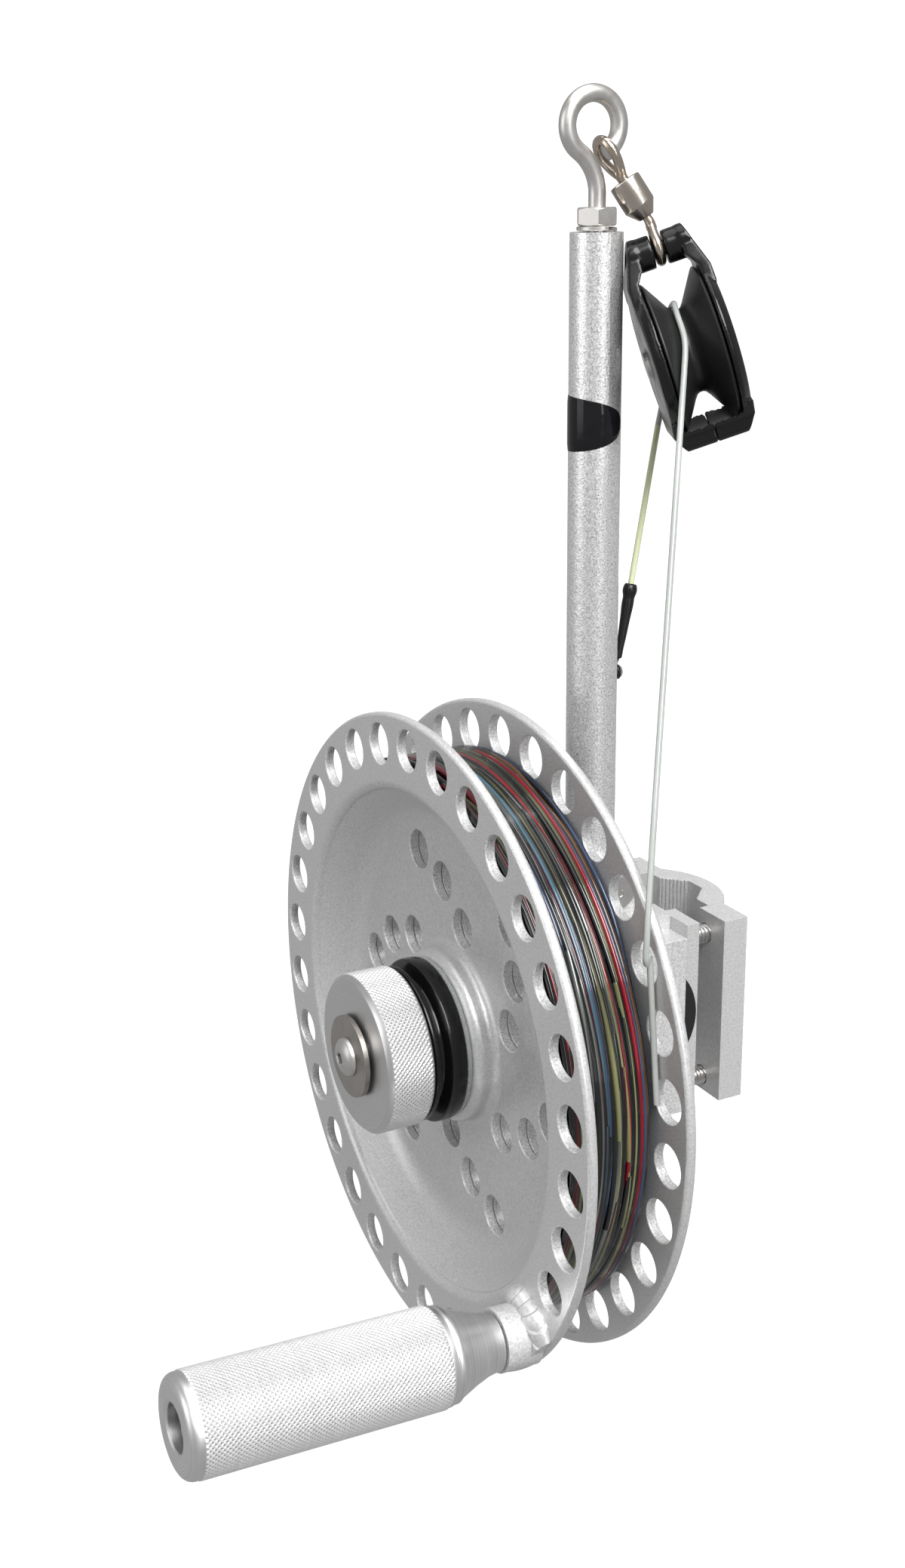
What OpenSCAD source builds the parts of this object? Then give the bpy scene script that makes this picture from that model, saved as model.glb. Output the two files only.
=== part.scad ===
// Planer board reel: a hand-wound line reel on a rail clamp, with a mast that carries a pulley block.
// Millimetres, +Z up. The origin is the centre of the clamped rail, midway between the jaws.
// The spool's axle runs along Y and its front, with the drag knob, looks towards -Y.

/* [Spool] */
// Diameter of the two flanges
flange_d = 209.55; // [200:0.05:240]
// Clear width between the two flanges
line_space = 28.8; // [24:0.1:36]
// Thickness of each flange
flange_t = 3.2; // [2.4:0.1:5]
// Radius of the rounded flange edge
flange_edge_r = 1.2; // [0.4:0.1:1.2]
// Diameter of the lip where each dish begins
dish_lip_d = 160; // [154:1:168]
// Diameter of the dish wall at the floor
dish_wall_d = 144; // [134:1:148]
// Thickness of the dish floor
floor_t = 3.4; // [2.4:0.1:5]
// Radius between the floor and the dish wall
floor_fillet_r = 6; // [3:0.5:7]
// Radius of the rounded lip of the dish
lip_r = 5; // [4:0.5:6]
// Diameter of the hub boss
hub_d = 54; // [44:1:60]
// Height of the hub boss over the floor
hub_h = 7.8; // [4:0.1:12]
// Radius at the foot of the hub boss
hub_fillet_r = 2.6; // [1:0.1:4]

/* [Holes] */
// Diameter of the holes round the flanges
rim_hole_d = 13; // [8:0.5:15]
// Number of holes round a flange
rim_hole_count = 30; // [20:1:34]
// Distance of the rim holes' middles inside the flange's edge
rim_hole_inset = 9.8; // [8:0.1:11.5]
// Turn of the first rim hole
rim_hole_start = -4.1; // [-8:0.1:8]
// Diameter of the holes in the dish floor
floor_hole_d = 12.8; // [6:0.2:13]
// Number of curved arms of floor holes
floor_hole_arms = 6; // [3:1:6]
// Radius of the outer floor holes
arm_outer_r = 59.4; // [57:0.1:60]
// Radius of the middle floor holes
arm_middle_r = 49.1; // [48:0.1:51]
// Radius of the inner floor holes
arm_inner_r = 37.2; // [37:0.1:39]
// Turn of the outer floor holes
arm_start = -5.5; // [-15:0.5:15]
// Turn back from the outer floor hole to the middle one
arm_step_outer = 14.4; // [8:0.1:20]
// Turn back from the middle floor hole to the inner one
arm_step_inner = 17.5; // [8:0.1:22]

/* [Line] */
// Diameter of the line
line_d = 1.85; // [1.2:0.05:2]
// Diameter over the wound line
winding_d = 180; // [176:1:184]
// Turns in the outer layer of the winding
winding_turns = 11; // [6:1:11]
// Diameter of the black sleeve over the line's end
sleeve_d = 3.6; // [2.8:0.1:4.4]
// Length of the black sleeve
sleeve_l = 19; // [12:0.5:24]

/* [Axle and drag] */
// Diameter of the axle
axle_d = 12.7; // [10:0.1:14]
// Wall of the bushings in the hub
bushing_wall = 1.6; // [1:0.1:3]
// Diameter of the thrust washer behind the spool
thrust_washer_d = 40; // [30:1:50]
// Thickness of the thrust washer
thrust_washer_t = 1.5; // [1:0.1:3]
// Diameter of the spacer behind the spool
spacer_d = 22; // [18:0.5:30]
// Length of the spacer
spacer_l = 13.1; // [8:0.1:24]
// Width across the flats of the axle nut
axle_nut_af = 19.05; // [17:0.05:26]
// Thickness of the axle nut
axle_nut_t = 8; // [5:0.5:12]
// Diameter of the clear friction washer
friction_washer_d = 51.6; // [40:0.2:53]
// Thickness of the clear friction washer
friction_washer_t = 1.3; // [0.8:0.1:3]
// Diameter of the brake disc's rear lip
brake_d = 52.4; // [44:0.2:53]
// Thickness of the brake disc
brake_t = 10.2; // [8:0.1:14]
// Thickness of each lip of the brake disc
brake_lip_t = 3; // [2:0.1:3.5]
// Depth of the groove round the brake disc
brake_groove = 5.5; // [2:0.1:8]
// Diameter of the knurled drag knob
knob_d = 50.8; // [40:0.1:56]
// Length of the drag knob
knob_l = 15.6; // [10:0.1:24]
// Chamfer of the drag knob
knob_chamfer = 1.4; // [0.5:0.1:2.5]
// Travel of the drag knob along the axle
knob_travel = 1; // [0.6:0.1:3]
// Diameter of the fender washer on the axle's end
fender_washer_d = 26; // [18:0.5:34]
// Thickness of the fender washer
fender_washer_t = 1.5; // [1:0.1:3]
// Diameter of the end screw's head
end_head_d = 12.4; // [9:0.1:15]
// Height of the end screw's head
end_head_h = 3.1; // [2:0.1:6]
// Diameter of the end screw's shank
end_shank_d = 6.35; // [4:0.05:7]

/* [Crank handle] */
// Distance of the handle's middle inside the flange's edge
handle_inset = 8.6; // [8:0.1:16]
// Place of the handle round the spool
handle_angle = -42.4; // [-44:0.1:-38]
// Lean of the handle, upwards at its front
handle_lean = 2.6; // [0:0.1:5]
// Diameter of the welded stub
stub_d = 19.05; // [14:0.05:19.2]
// Length of the welded stub
stub_l = 11.4; // [9:0.1:20]
// Width of the weld round the stub
weld_w = 5; // [3:0.1:5.4]
// Height of the weld
weld_h = 4.8; // [3:0.1:5.4]
// Diameter of the cone at the stub
cone_small_d = 17.8; // [15:0.1:20]
// Diameter of the cone at the grip
cone_large_d = 27.6; // [24:0.1:29]
// Length of the cone
cone_l = 15.5; // [10:0.5:22]
// Diameter of the collar behind the grip
collar_d = 28.4; // [26:0.1:30]
// Length of the collar
collar_l = 2.4; // [1:0.1:5]
// Diameter of the knurled grip
grip_d = 30; // [26:0.5:36]
// Length of the knurled grip
grip_l = 80.6; // [60:0.1:110]
// Radius of the grip's rounded end
grip_end_r = 3; // [1:0.1:4]
// Diameter of the recess in the grip's end
grip_recess_d = 14; // [12:0.1:18]
// Depth of the recess in the grip's end
grip_recess_depth = 9; // [8:0.5:14]
// Diameter of the handle bolt
handle_bolt_d = 9.525; // [6:0.005:10]
// Diameter of the handle bolt's head
handle_bolt_head_d = 13; // [11:0.1:13.2]
// Height of the handle bolt's head
handle_bolt_head_h = 5; // [3:0.1:7]

/* [Mast] */
// Diameter of the mast
mast_d = 15.875; // [12:0.005:17]
// Height of the mast's top over the rail's centre
mast_top = 244.5; // [230:0.5:246]
// Depth of the mast's axis inside the block's back face
mast_inset = 16.96; // [14:0.02:20]
// Width of the mast block
block_w = 63.5; // [60:0.5:80]
// Depth of the mast block, front to back
block_depth = 28.9; // [26:0.1:40]
// Height of the block's top over the rail's centre
block_top = 30; // [26:0.5:34]
// Depth of the block's bottom under the rail's centre
block_bottom = 31; // [28:0.5:36]
// Width of the boss round the mast
boss_w = 28; // [24:0.5:36]
// Height of the boss over the block
boss_h = 22; // [18:0.5:30]
// Diameter of the bolt across the mast
cross_bolt_d = 6.35; // [4:0.05:7]
// Depth of the cross bolt under the boss's top
cross_bolt_drop = 8; // [6:0.5:12]
// Height of the oval label
label_h = 16.5; // [10:0.5:24]
// Arc that the oval label covers, to each side
label_arc = 165; // [60:1:170]
// Height of the label's middle
label_z = 189.4; // [120:0.2:220]
// Thickness of the label
label_t = 0.3; // [0.2:0.05:0.6]

/* [Rail clamp] */
// Width of the jaws
jaw_w = 63.5; // [58:0.5:76]
// Height of the outer jaw
jaw_h = 63.5; // [58:0.5:70]
// Height of the inner jaw
inner_jaw_h = 65; // [60:0.5:70]
// Rise of the outer jaw's middle over the rail's centre
outer_jaw_rise = 1.2; // [0:0.1:2]
// Rise of the inner jaw's middle over the rail's centre
inner_jaw_rise = 1.9; // [0:0.1:2]
// Gap between the jaws
jaw_gap = 9.7; // [9.7:0.1:16]
// Thickness of the inner jaw's flanges
inner_flange_t = 4.6; // [4.6:0.1:7]
// Thickness of the outer jaw's flanges
outer_flange_t = 8.9; // [6:0.1:12]
// Half width of the mouth of the jaw's vee
vee_mouth = 17.5; // [16:0.1:17.8]
// Depth of the step at the vee's mouth
vee_step = 3.5; // [2:0.1:4]
// Half width of the vee's flat bottom
vee_bottom = 3.6; // [2:0.1:5]
// Depth of the vee
vee_depth = 10.7; // [8:0.1:11]
// Wall left behind the vee
vee_wall = 5.8; // [3:0.1:7]
// Half width of the round hump behind the vee, where it leaves the flange
hump_half = 21.9; // [19:0.1:23]
// Number of grip grooves on each side of the vee
grip_grooves = 8; // [3:1:9]
// Depth of the grip grooves along the vee
groove_depth = 0.45; // [0.3:0.05:0.6]
// Diameter of the clamp bolts
clamp_bolt_d = 6.35; // [5:0.05:7]
// Distance of the clamp bolts from the middle, sideways
clamp_bolt_x = 21.4; // [21.3:0.1:25.5]
// Distance of the clamp bolts from the middle, up and down
clamp_bolt_z = 25.4; // [22:0.1:26]
// Height of the black pad in the inner jaw's side
pad_h = 24.7; // [16:0.1:27]
// Rise of the pad's curved side
pad_rise = 4.2; // [2:0.1:4.2]
// Height of the pad's middle
pad_z = 3.6; // [-6:0.1:6]

/* [Eyebolt] */
// Diameter of the eyebolt's wire
eye_wire_d = 5.2; // [4:0.1:5.6]
// Radius of the eye, to the middle of the wire
eye_r = 8.7; // [8.5:0.1:11]
// Height of the eye's centre over the mast
eye_rise = 29.5; // [29:0.1:34]
// Height of the neck's bend over the mast
neck_rise = 10.5; // [9:0.1:11]
// Width across the flats of the eyebolt's nut
eye_nut_af = 11.1; // [9:0.1:13]
// Height of the eyebolt's nut
eye_nut_h = 5.2; // [4:0.1:6]
// Diameter of the lock washer
lock_washer_d = 12; // [9:0.1:14]
// Thickness of the lock washer
lock_washer_t = 1.7; // [1:0.1:2.5]

/* [Swivel] */
// Diameter of the upper eye's wire
top_wire_d = 1.8; // [1.4:0.1:2.2]
// Clearance of the upper eye round the eyebolt's wire
top_eye_clearance = 0.7; // [0.5:0.1:1.2]
// Diameter of the swivel's barrel
barrel_d = 9.6; // [8.4:0.1:11]
// Length of the swivel's barrel
barrel_l = 12.4; // [11:0.1:13]
// Distance of the barrel's top under the eyebolt's wire
barrel_drop = 9.3; // [8.8:0.1:10]
// Diameter of the lower eye's wire
low_wire_d = 2.2; // [1.6:0.1:2.6]

/* [Pulley block] */
// Diameter of the sheave
sheave_d = 46; // [42:0.5:46]
// Width of the sheave
sheave_w = 17.2; // [14:0.1:17.4]
// Diameter at the bottom of the sheave's groove
groove_d = 25.2; // [20:0.2:25.2]
// Diameter of the cheeks
cheek_d = 47; // [46.4:0.2:47]
// Thickness of each cheek
cheek_t = 3.5; // [2:0.1:3.6]
// Space between a cheek and the sheave
cheek_clearance = 0.4; // [0.3:0.1:0.8]
// Diameter of the sheave's pin
sheave_pin_d = 7; // [5:0.5:9]
// Distance of the top bar from the sheave's centre
top_bar_b = 30.8; // [30.4:0.2:34]
// Diameter of the top bar's half sleeves
top_bar_d = 10; // [8:0.2:10.4]
// Diameter of the pin in the top bar
core_pin_d = 4.4; // [3.6:0.1:4.8]
// Distance of the bottom bar's foot from the sheave's centre
bottom_bar_b = 27; // [26.4:0.1:30]
// Width of the bottom bar
bottom_bar_w = 21; // [16:0.5:22]
// Length of the bottom bar's foot
bottom_bar_l = 19; // [14:0.5:24]
// Distance of the sheave's centre from the mast's axis
pulley_out = 27.8; // [27.6:0.1:32]
// Depth of the sheave's centre under the mast's top
pulley_drop = 34.4; // [34:0.1:40]
// Lean of the pulley block
pulley_lean = 18.5; // [17:0.1:19]
// Direction from the mast to the pulley
pulley_turn = 62.6; // [58:0.1:66]

/* [Hidden] */

// Clearances: pressed parts, running parts, faces that slide and parts of different bodies.
press = 0.02;
running = 0.05;
face_gap = 0.1;
apart = 0.35;
fine = 96;
medium = 48;
small = 32;

silver = "silver";
steel = "lightslategray";
black = "#1c1c1e";

// Heights over the spool's middle plane, towards the front; the rear of the spool is its mirror image.
flange_in = line_space / 2;
flange_out = flange_in + flange_t;
rim_circle_d = flange_d - 2 * rim_hole_inset;
handle_r = flange_d / 2 - handle_inset;
hub_top = floor_t + hub_h;
friction_from = hub_top + face_gap;
brake_from = friction_from + friction_washer_t + face_gap;
knob_from = brake_from + brake_t + apart;
fender_from = knob_from + knob_l + knob_travel;
screw_from = fender_from + fender_washer_t;
standoff = hub_top + face_gap + thrust_washer_t + spacer_l + axle_nut_t + face_gap;

// Places along Y, from the rail's centre to the front.
seam_y = -jaw_gap / 2 - inner_flange_t;
block_front = seam_y - block_depth;
spool_y = block_front - standoff;
mast_y = seam_y - mast_inset;
mast_foot = inner_jaw_rise + inner_jaw_h / 2 + 2;
boss_top = block_top + boss_h;

function arc(cx, cy, r, from, to, n) =
    [for (i = [0 : n]) [cx + r * cos(from + (to - from) * i / n), cy + r * sin(from + (to - from) * i / n)]];

function unit(v) = v / norm(v);

function along(points, k) = [for (p = points) [p.x, k * p.y]];

function backwards(points) = [for (i = [len(points) - 1 : -1 : 0]) points[i]];

// Frame of the spool: local Z is the axle, pointing to the front, and local Y is up.
module on_axle(t = 0) {
    translate([0, spool_y, 0]) rotate([90, 0, 0]) translate([0, 0, t]) children();
}

// The same for the rear half: local Z points to the back.
module on_axle_rear(t = 0) {
    translate([0, spool_y, 0]) rotate([-90, 0, 0]) translate([0, 0, t]) children();
}

module ring(outer, bore, h) {
    difference() {
        cylinder(h = h, d = outer, $fn = fine);
        translate([0, 0, -1]) cylinder(h = h + 2, d = bore, $fn = medium);
    }
}

module hexagon(af, h) {
    cylinder(h = h, d = af / cos(30), $fn = 6);
}

module rod(p, q, r) {
    v = q - p;
    translate(p)
        rotate([0, acos(v.z / norm(v)), atan2(v.y, v.x)])
            cylinder(h = norm(v), r = r, $fn = small);
}

// Outline of the outer side of the dish wall, where the wound line lies, offset by a gap.
function wall_back(gap) = concat(
    arc(dish_lip_d / 2, flange_out - lip_r, lip_r - flange_t - gap, 90, 180, 6),
    [for (p = arc(dish_wall_d / 2 - floor_fillet_r, floor_t + floor_fillet_r,
        floor_fillet_r + floor_t - face_gap / 2 + gap, 0, -90, 8)) if (p.y > gap) p]
);

function dish_outline() = concat(
    [[hub_bore_r, face_gap / 2], [hub_bore_r, hub_top], [hub_d / 2 - 1, hub_top], [hub_d / 2, hub_top - 1]],
    arc(hub_d / 2 + hub_fillet_r, floor_t + hub_fillet_r, hub_fillet_r, 180, 270, 6),
    arc(dish_wall_d / 2 - floor_fillet_r, floor_t + floor_fillet_r, floor_fillet_r, 270, 360, 8),
    arc(dish_lip_d / 2, flange_out - lip_r, lip_r, 180, 90, 8),
    arc(flange_d / 2 - flange_edge_r, flange_out - flange_edge_r, flange_edge_r, 90, 0, 4),
    arc(flange_d / 2 - flange_edge_r, flange_in + flange_edge_r, flange_edge_r, 0, -90, 4),
    wall_back(0)
);

hub_bore_r = axle_d / 2 + running + bushing_wall;

module rim_holes(skip) {
    for (k = [0 : rim_hole_count - 1]) {
        turn = rim_hole_start + 360 * k / rim_hole_count;
        if (!skip || abs(turn - 360 - handle_hole) > 1)
            rotate(turn) translate([rim_circle_d / 2, 0, flange_in - 1])
                cylinder(h = flange_t + 2, d = rim_hole_d, $fn = small);
    }
}

// The rim hole that the handle takes up, counted back from the first.
hole_step = 360 / rim_hole_count;
handle_hole = rim_hole_start - hole_step * round((rim_hole_start - handle_angle) / hole_step);

module floor_holes() {
    spots = [
        [arm_outer_r, arm_start],
        [arm_middle_r, arm_start - arm_step_outer],
        [arm_inner_r, arm_start - arm_step_outer - arm_step_inner]
    ];
    for (k = [0 : floor_hole_arms - 1], s = spots)
        rotate(s[1] + 360 * k / floor_hole_arms) translate([s[0], 0, -1])
            cylinder(h = floor_t + 2, d = floor_hole_d, $fn = small);
}

module dish() {
    difference() {
        rotate_extrude($fn = fine) polygon(dish_outline());
        floor_holes();
        children();
    }
}

module front_dish() {
    color(silver) on_axle() dish() rim_holes(true);
}

// The mirror image of the front dish, so that the floor holes of both meet.
module rear_dish() {
    color(silver) on_axle() mirror([0, 0, 1]) dish() rim_holes(false);
}

module hub_bushings() {
    color("peru") for (side = [0, 180])
        on_axle() rotate([side, 0, 0]) translate([0, 0, face_gap / 2])
            ring(2 * (hub_bore_r - press), axle_d + 2 * running, hub_top - face_gap);
}

// The wound line: a plain core under an outer layer of turns.
wound_r = winding_d / 2 - line_d / 2;
core_r = wound_r - line_d;
ring_step = 15;
winding_rings = winding_turns * 360 / ring_step;
winding_span = line_space - line_d - 2 * apart;
winding_pitch = winding_span / winding_turns;

module line_core() {
    side = concat(
        [[core_r, flange_in - face_gap], [dish_lip_d / 2, flange_in - face_gap]],
        wall_back(face_gap)
    );
    color("dimgray") on_axle() rotate_extrude($fn = fine)
        polygon(concat(side, backwards(along(side, -1))));
}

function wound(i) = let (turn = winding_start - i * ring_step)
    [wound_r * cos(turn), wound_r * sin(turn), winding_span * (0.5 - i / winding_rings)];

winding_start = 250;

function dipped(p) = [p.x * core_r / wound_r, p.y * core_r / wound_r, p.z];

winding_path = concat(
    [dipped(wound(0))],
    [for (i = [0 : winding_rings]) wound(i)],
    [dipped(wound(winding_rings))]
);

// One ring of a swept tube at a point, square to the mean of its two runs.
function tube_ring(path, i, r, sides, side_axis) =
    let (
        last = len(path) - 1,
        before = unit(path[i] - path[max(i - 1, 0)] + (i == 0 ? path[1] - path[0] : [0, 0, 0])),
        after = unit(path[min(i + 1, last)] - path[i] + (i == last ? path[i] - path[i - 1] : [0, 0, 0])),
        forward = unit(before + after),
        across = unit(cross(forward, side_axis)),
        over = cross(forward, across),
        bend = unit(after - before + 1e-9 * across),
        stretch = 1 / max(0.5, forward * after)
    )
    [for (k = [0 : sides - 1])
        let (
            turn = 360 * (k + 0.5) / sides,
            spoke = r * (cos(turn) * across + sin(turn) * over),
            inward = (spoke * bend) * bend
        )
        path[i] + spoke + (stretch - 1) * inward];

function tube_sides(count, sides) = [
    for (i = [0 : count - 2], k = [0 : sides - 1], half = [0, 1])
        let (
            a = i * sides + k,
            b = i * sides + (k + 1) % sides
        )
        half == 0 ? [a, b, b + sides] : [a, b + sides, a + sides]
];

module tube(path, from, to, r, sides, side_axis) {
    count = to - from + 1;
    rings = [for (i = [from : to]) each tube_ring(path, i, r, sides, side_axis)];
    low = [for (k = [1 : sides - 2]) [0, k + 1, k]];
    top = (count - 1) * sides;
    high = [for (k = [1 : sides - 2]) [top, top + k, top + k + 1]];
    polyhedron(points = rings, faces = concat(tube_sides(count, sides), low, high), convexity = 10);
}

module line_winding() {
    gap = min([for (i = [0 : winding_rings - 360 / ring_step]) for (k = [-1 : 1])
        norm(wound(i) - wound(min(winding_rings, i + 360 / ring_step + k)))]) - line_d;
    echo(str("least gap between turns: ", gap));
    color("firebrick") on_axle()
        tube(winding_path, 0, len(winding_path) - 1, line_d / 2, 6, [0, 0, 1]);
}

module axle() {
    depth = standoff + block_depth - apart - hump_depth;
    color(steel) on_axle(-depth) difference() {
        cylinder(h = depth + fender_from, d = axle_d, $fn = medium);
        translate([0, 0, depth + fender_from - end_shank_l])
            cylinder(h = end_shank_l + 1, d = end_shank_d + 2 * press, $fn = small);
    }
}

end_shank_l = 14;

module axle_nut() {
    color(steel) on_axle(-standoff) difference() {
        hexagon(axle_nut_af, axle_nut_t);
        translate([0, 0, -1]) cylinder(h = axle_nut_t + 2, d = axle_d + 2 * press, $fn = medium);
    }
}

module axle_spacer() {
    color(steel) on_axle(-standoff + axle_nut_t) ring(spacer_d, axle_d + 2 * press, spacer_l);
}

module thrust_washer() {
    color(steel) on_axle(-standoff + axle_nut_t + spacer_l)
        ring(thrust_washer_d, axle_d + 2 * press, thrust_washer_t);
}

module friction_washer() {
    color("lightcyan", 0.6) on_axle(friction_from)
        ring(friction_washer_d, axle_d + 2 * press, friction_washer_t);
}

module brake_disc() {
    rear = brake_d / 2;
    front = rear - 1.4;
    groove = rear - brake_groove;
    round_r = 0.6;
    outline = concat(
        [[axle_d / 2 + running, 0]],
        arc(rear - round_r, round_r, round_r, -90, 0, 3),
        arc(rear - round_r, brake_lip_t - round_r, round_r, 0, 90, 3),
        arc(groove + 1, brake_lip_t + 1, 1, 270, 180, 3),
        arc(groove + 1, brake_t - brake_lip_t - 1, 1, 180, 90, 3),
        arc(front - round_r, brake_t - brake_lip_t + round_r, round_r, -90, 0, 3),
        arc(front - round_r, brake_t - round_r, round_r, 0, 90, 3),
        [[axle_d / 2 + running, brake_t]]
    );
    color(black) on_axle(brake_from) rotate_extrude($fn = fine) polygon(outline);
}

module drag_knob() {
    r = knob_d / 2;
    c = knob_chamfer;
    bore = axle_d / 2 + running;
    color(silver) on_axle(knob_from) rotate_extrude($fn = fine)
        polygon([[bore, 0], [r - c, 0], [r, c], [r, knob_l - c], [r - c, knob_l], [bore, knob_l]]);
}

module fender_washer() {
    color(steel) on_axle(fender_from) ring(fender_washer_d, end_shank_d + 2 * press, fender_washer_t);
}

module end_screw() {
    color(steel) on_axle(screw_from) difference() {
        union() {
            cylinder(h = end_head_h, d1 = end_head_d, d2 = end_head_d / 2, $fn = medium);
            translate([0, 0, 1 - end_shank_l]) cylinder(h = end_shank_l, d = end_shank_d, $fn = small);
        }
        translate([0, 0, end_head_h - 2.2]) hexagon(4, 3);
    }
}

// Frame of the crank handle: local Z runs from the flange's face along the handle.
module on_handle(h = 0) {
    on_axle(flange_out) rotate(handle_angle) translate([handle_r, 0, 0]) rotate(-handle_angle)
        rotate([-handle_lean, 0, 0]) translate([0, 0, h]) children();
}

module over_flange() {
    intersection() {
        children();
        on_axle(flange_out) cylinder(h = 60, r = handle_r + stub_d, $fn = small);
    }
}

cone_from = stub_l + apart;
collar_from = cone_from + cone_l;
grip_from = collar_from + collar_l;
recess_from = grip_from + grip_l - grip_recess_depth;

module handle_stub() {
    color(silver) over_flange() on_handle(-2) difference() {
        cylinder(h = stub_l + 2, d = stub_d, $fn = medium);
        cylinder(h = stub_l + 3, d = handle_bolt_d + 2 * press, $fn = small);
    }
}

module weld_bead() {
    inner = stub_d / 2 + press;
    outline = concat([[inner, -2], [inner + weld_w, -2]], arc(inner, 0, weld_w, 0, 60, 6),
        [[inner, weld_h]]);
    color(silver) over_flange() difference() {
        on_handle() rotate_extrude($fn = medium) polygon(outline);
        on_axle(flange_in) difference() {
            cylinder(h = 60, d = flange_d + 60, $fn = fine);
            cylinder(h = 61, d = flange_d - flange_edge_r, $fn = fine);
        }
        on_axle(flange_in) rotate(handle_hole - 360 / rim_hole_count) translate([rim_circle_d / 2, 0, 0])
            cylinder(h = 60, d = rim_hole_d, $fn = small);
    }
}

module handle_bolt() {
    color(steel) on_handle() difference() {
        union() {
            translate([0, 0, handle_lean / 2])
                cylinder(h = recess_from - handle_lean / 2 + apart, d = handle_bolt_d, $fn = small);
            translate([0, 0, recess_from + apart])
                cylinder(h = handle_bolt_head_h, d = handle_bolt_head_d, $fn = small);
        }
        translate([0, 0, recess_from + handle_bolt_head_h - 2.5]) hexagon(6, 4);
    }
}

module handle_cone() {
    color(silver) on_handle() difference() {
        union() {
            translate([0, 0, cone_from])
                cylinder(h = cone_l, d1 = cone_small_d, d2 = cone_large_d, $fn = medium);
            translate([0, 0, collar_from]) cylinder(h = collar_l, d = collar_d, $fn = medium);
        }
        translate([0, 0, cone_from - 1])
            cylinder(h = cone_l + collar_l + 2, d = handle_bolt_d + 2 * running, $fn = small);
    }
}

module grip() {
    r = grip_d / 2;
    bore = handle_bolt_d / 2 + running;
    well = grip_l - grip_recess_depth;
    outline = concat(
        [[bore, 0], [r - 0.8, 0], [r, 0.8]],
        arc(r - grip_end_r, grip_l - grip_end_r, grip_end_r, 0, 90, 6),
        [
            [grip_recess_d / 2 + 0.8, grip_l], [grip_recess_d / 2, grip_l - 0.8],
            [grip_recess_d / 2, well], [bore, well]
        ]
    );
    color(silver) on_handle(grip_from) rotate_extrude($fn = medium) polygon(outline);
}

// Depth of a jaw's hump behind its gripping face.
hump_depth = vee_depth + vee_wall - inner_flange_t;
hump_r = (hump_half * hump_half + hump_depth * hump_depth) / (2 * hump_depth);
hump_c = vee_depth + vee_wall - hump_r;

// Round back of the hump, from a level over the gripping face on one side up to a given direction.
function hump_arc(level, grow, to, n) =
    arc(0, hump_c, hump_r + grow, asin((level - hump_c) / (hump_r + grow)), to, n);

module hump_outline(level, grow) {
    half = hump_arc(level, grow, 90, 16);
    polygon(concat(half, [for (i = [len(half) - 2 : -1 : 0]) [-half[i].x, half[i].y]]));
}

// Right half of a jaw's section, with grip grooves along the slanted wall of the vee.
function jaw_half(flange) = let (
        run = vee_depth - vee_step,
        into = groove_depth * [1, 1] / sqrt(2)
    )
    concat(
        [[vee_bottom, vee_depth]],
        [for (k = [0 : grip_grooves - 1])
            let (
                near = run * (k + 0.3) / grip_grooves * [1, -1] + [vee_bottom, vee_depth],
                far = run * (k + 0.7) / grip_grooves * [1, -1] + [vee_bottom, vee_depth]
            )
            each [near, near + into, far + into, far]],
        [
            [vee_bottom + run, vee_step], [vee_mouth, vee_step], [vee_mouth + 0.4, 0],
            [jaw_w / 2, 0], [jaw_w / 2, flange]
        ],
        hump_arc(flange, 0, 89.5, 16)
    );

// A jaw with its gripping face on the plane y = 0 and its hump towards +Y.
module jaw(flange, h, rise) {
    half = jaw_half(flange);
    difference() {
        translate([0, 0, rise - h / 2]) linear_extrude(h)
            polygon(concat(half, [for (p = backwards(half)) [-p.x, p.y]]));
        bolt_places() rotate([-90, 0, 0]) translate([0, 0, -1])
            cylinder(h = flange + 20, d = clamp_bolt_d + 2 * face_gap, $fn = small);
    }
}

module bolt_places() {
    for (x = [-clamp_bolt_x, clamp_bolt_x], z = [-clamp_bolt_z, clamp_bolt_z])
        translate([x, 0, z]) children();
}

module pad_shape(grow) {
    pad_r = (pad_h * pad_h / 4 + pad_rise * pad_rise) / (2 * pad_rise);
    long = 6;
    intersection() {
        translate([jaw_w / 2 - long - grow, seam_y + pad_rise - pad_r, pad_z]) rotate([0, 90, 0])
            cylinder(h = long + 2 * grow, r = pad_r + grow, $fn = fine);
        translate([0, seam_y - (grow > 0 ? 1 : 0), pad_z - pad_h])
            cube([jaw_w, inner_flange_t + (grow > 0 ? 1 : 0), 2 * pad_h]);
    }
}

module inner_jaw() {
    color(silver) difference() {
        translate([0, -jaw_gap / 2, 0]) mirror([0, 1, 0])
            jaw(inner_flange_t, inner_jaw_h, inner_jaw_rise);
        pad_shape(press);
    }
}

module outer_jaw() {
    color(silver) translate([0, jaw_gap / 2, 0]) jaw(outer_flange_t, jaw_h, outer_jaw_rise);
}

module jaw_pad() {
    color(black) pad_shape(0);
}

bolt_head_h = 4;
bolt_end = jaw_gap / 2 + outer_flange_t + 3.8;

module clamp_bolts() {
    start = block_front - washer_t;
    color(steel) bolt_places() rotate([-90, 0, 0]) translate([0, 0, start]) {
        cylinder(h = bolt_end - start, d = clamp_bolt_d, $fn = small);
        translate([0, 0, -bolt_head_h]) difference() {
            cylinder(h = bolt_head_h, d = clamp_head_d, $fn = small);
            translate([0, 0, -1]) hexagon(5, 3.4);
        }
    }
}

washer_t = 1.6;
clamp_head_d = 9.5;
clamp_washer_d = 9.4;

module clamp_washers() {
    color(steel) bolt_places() rotate([-90, 0, 0]) translate([0, 0, block_front - washer_t + press])
        ring(clamp_washer_d, clamp_bolt_d + 2 * face_gap, washer_t - 2 * press);
}

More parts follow.
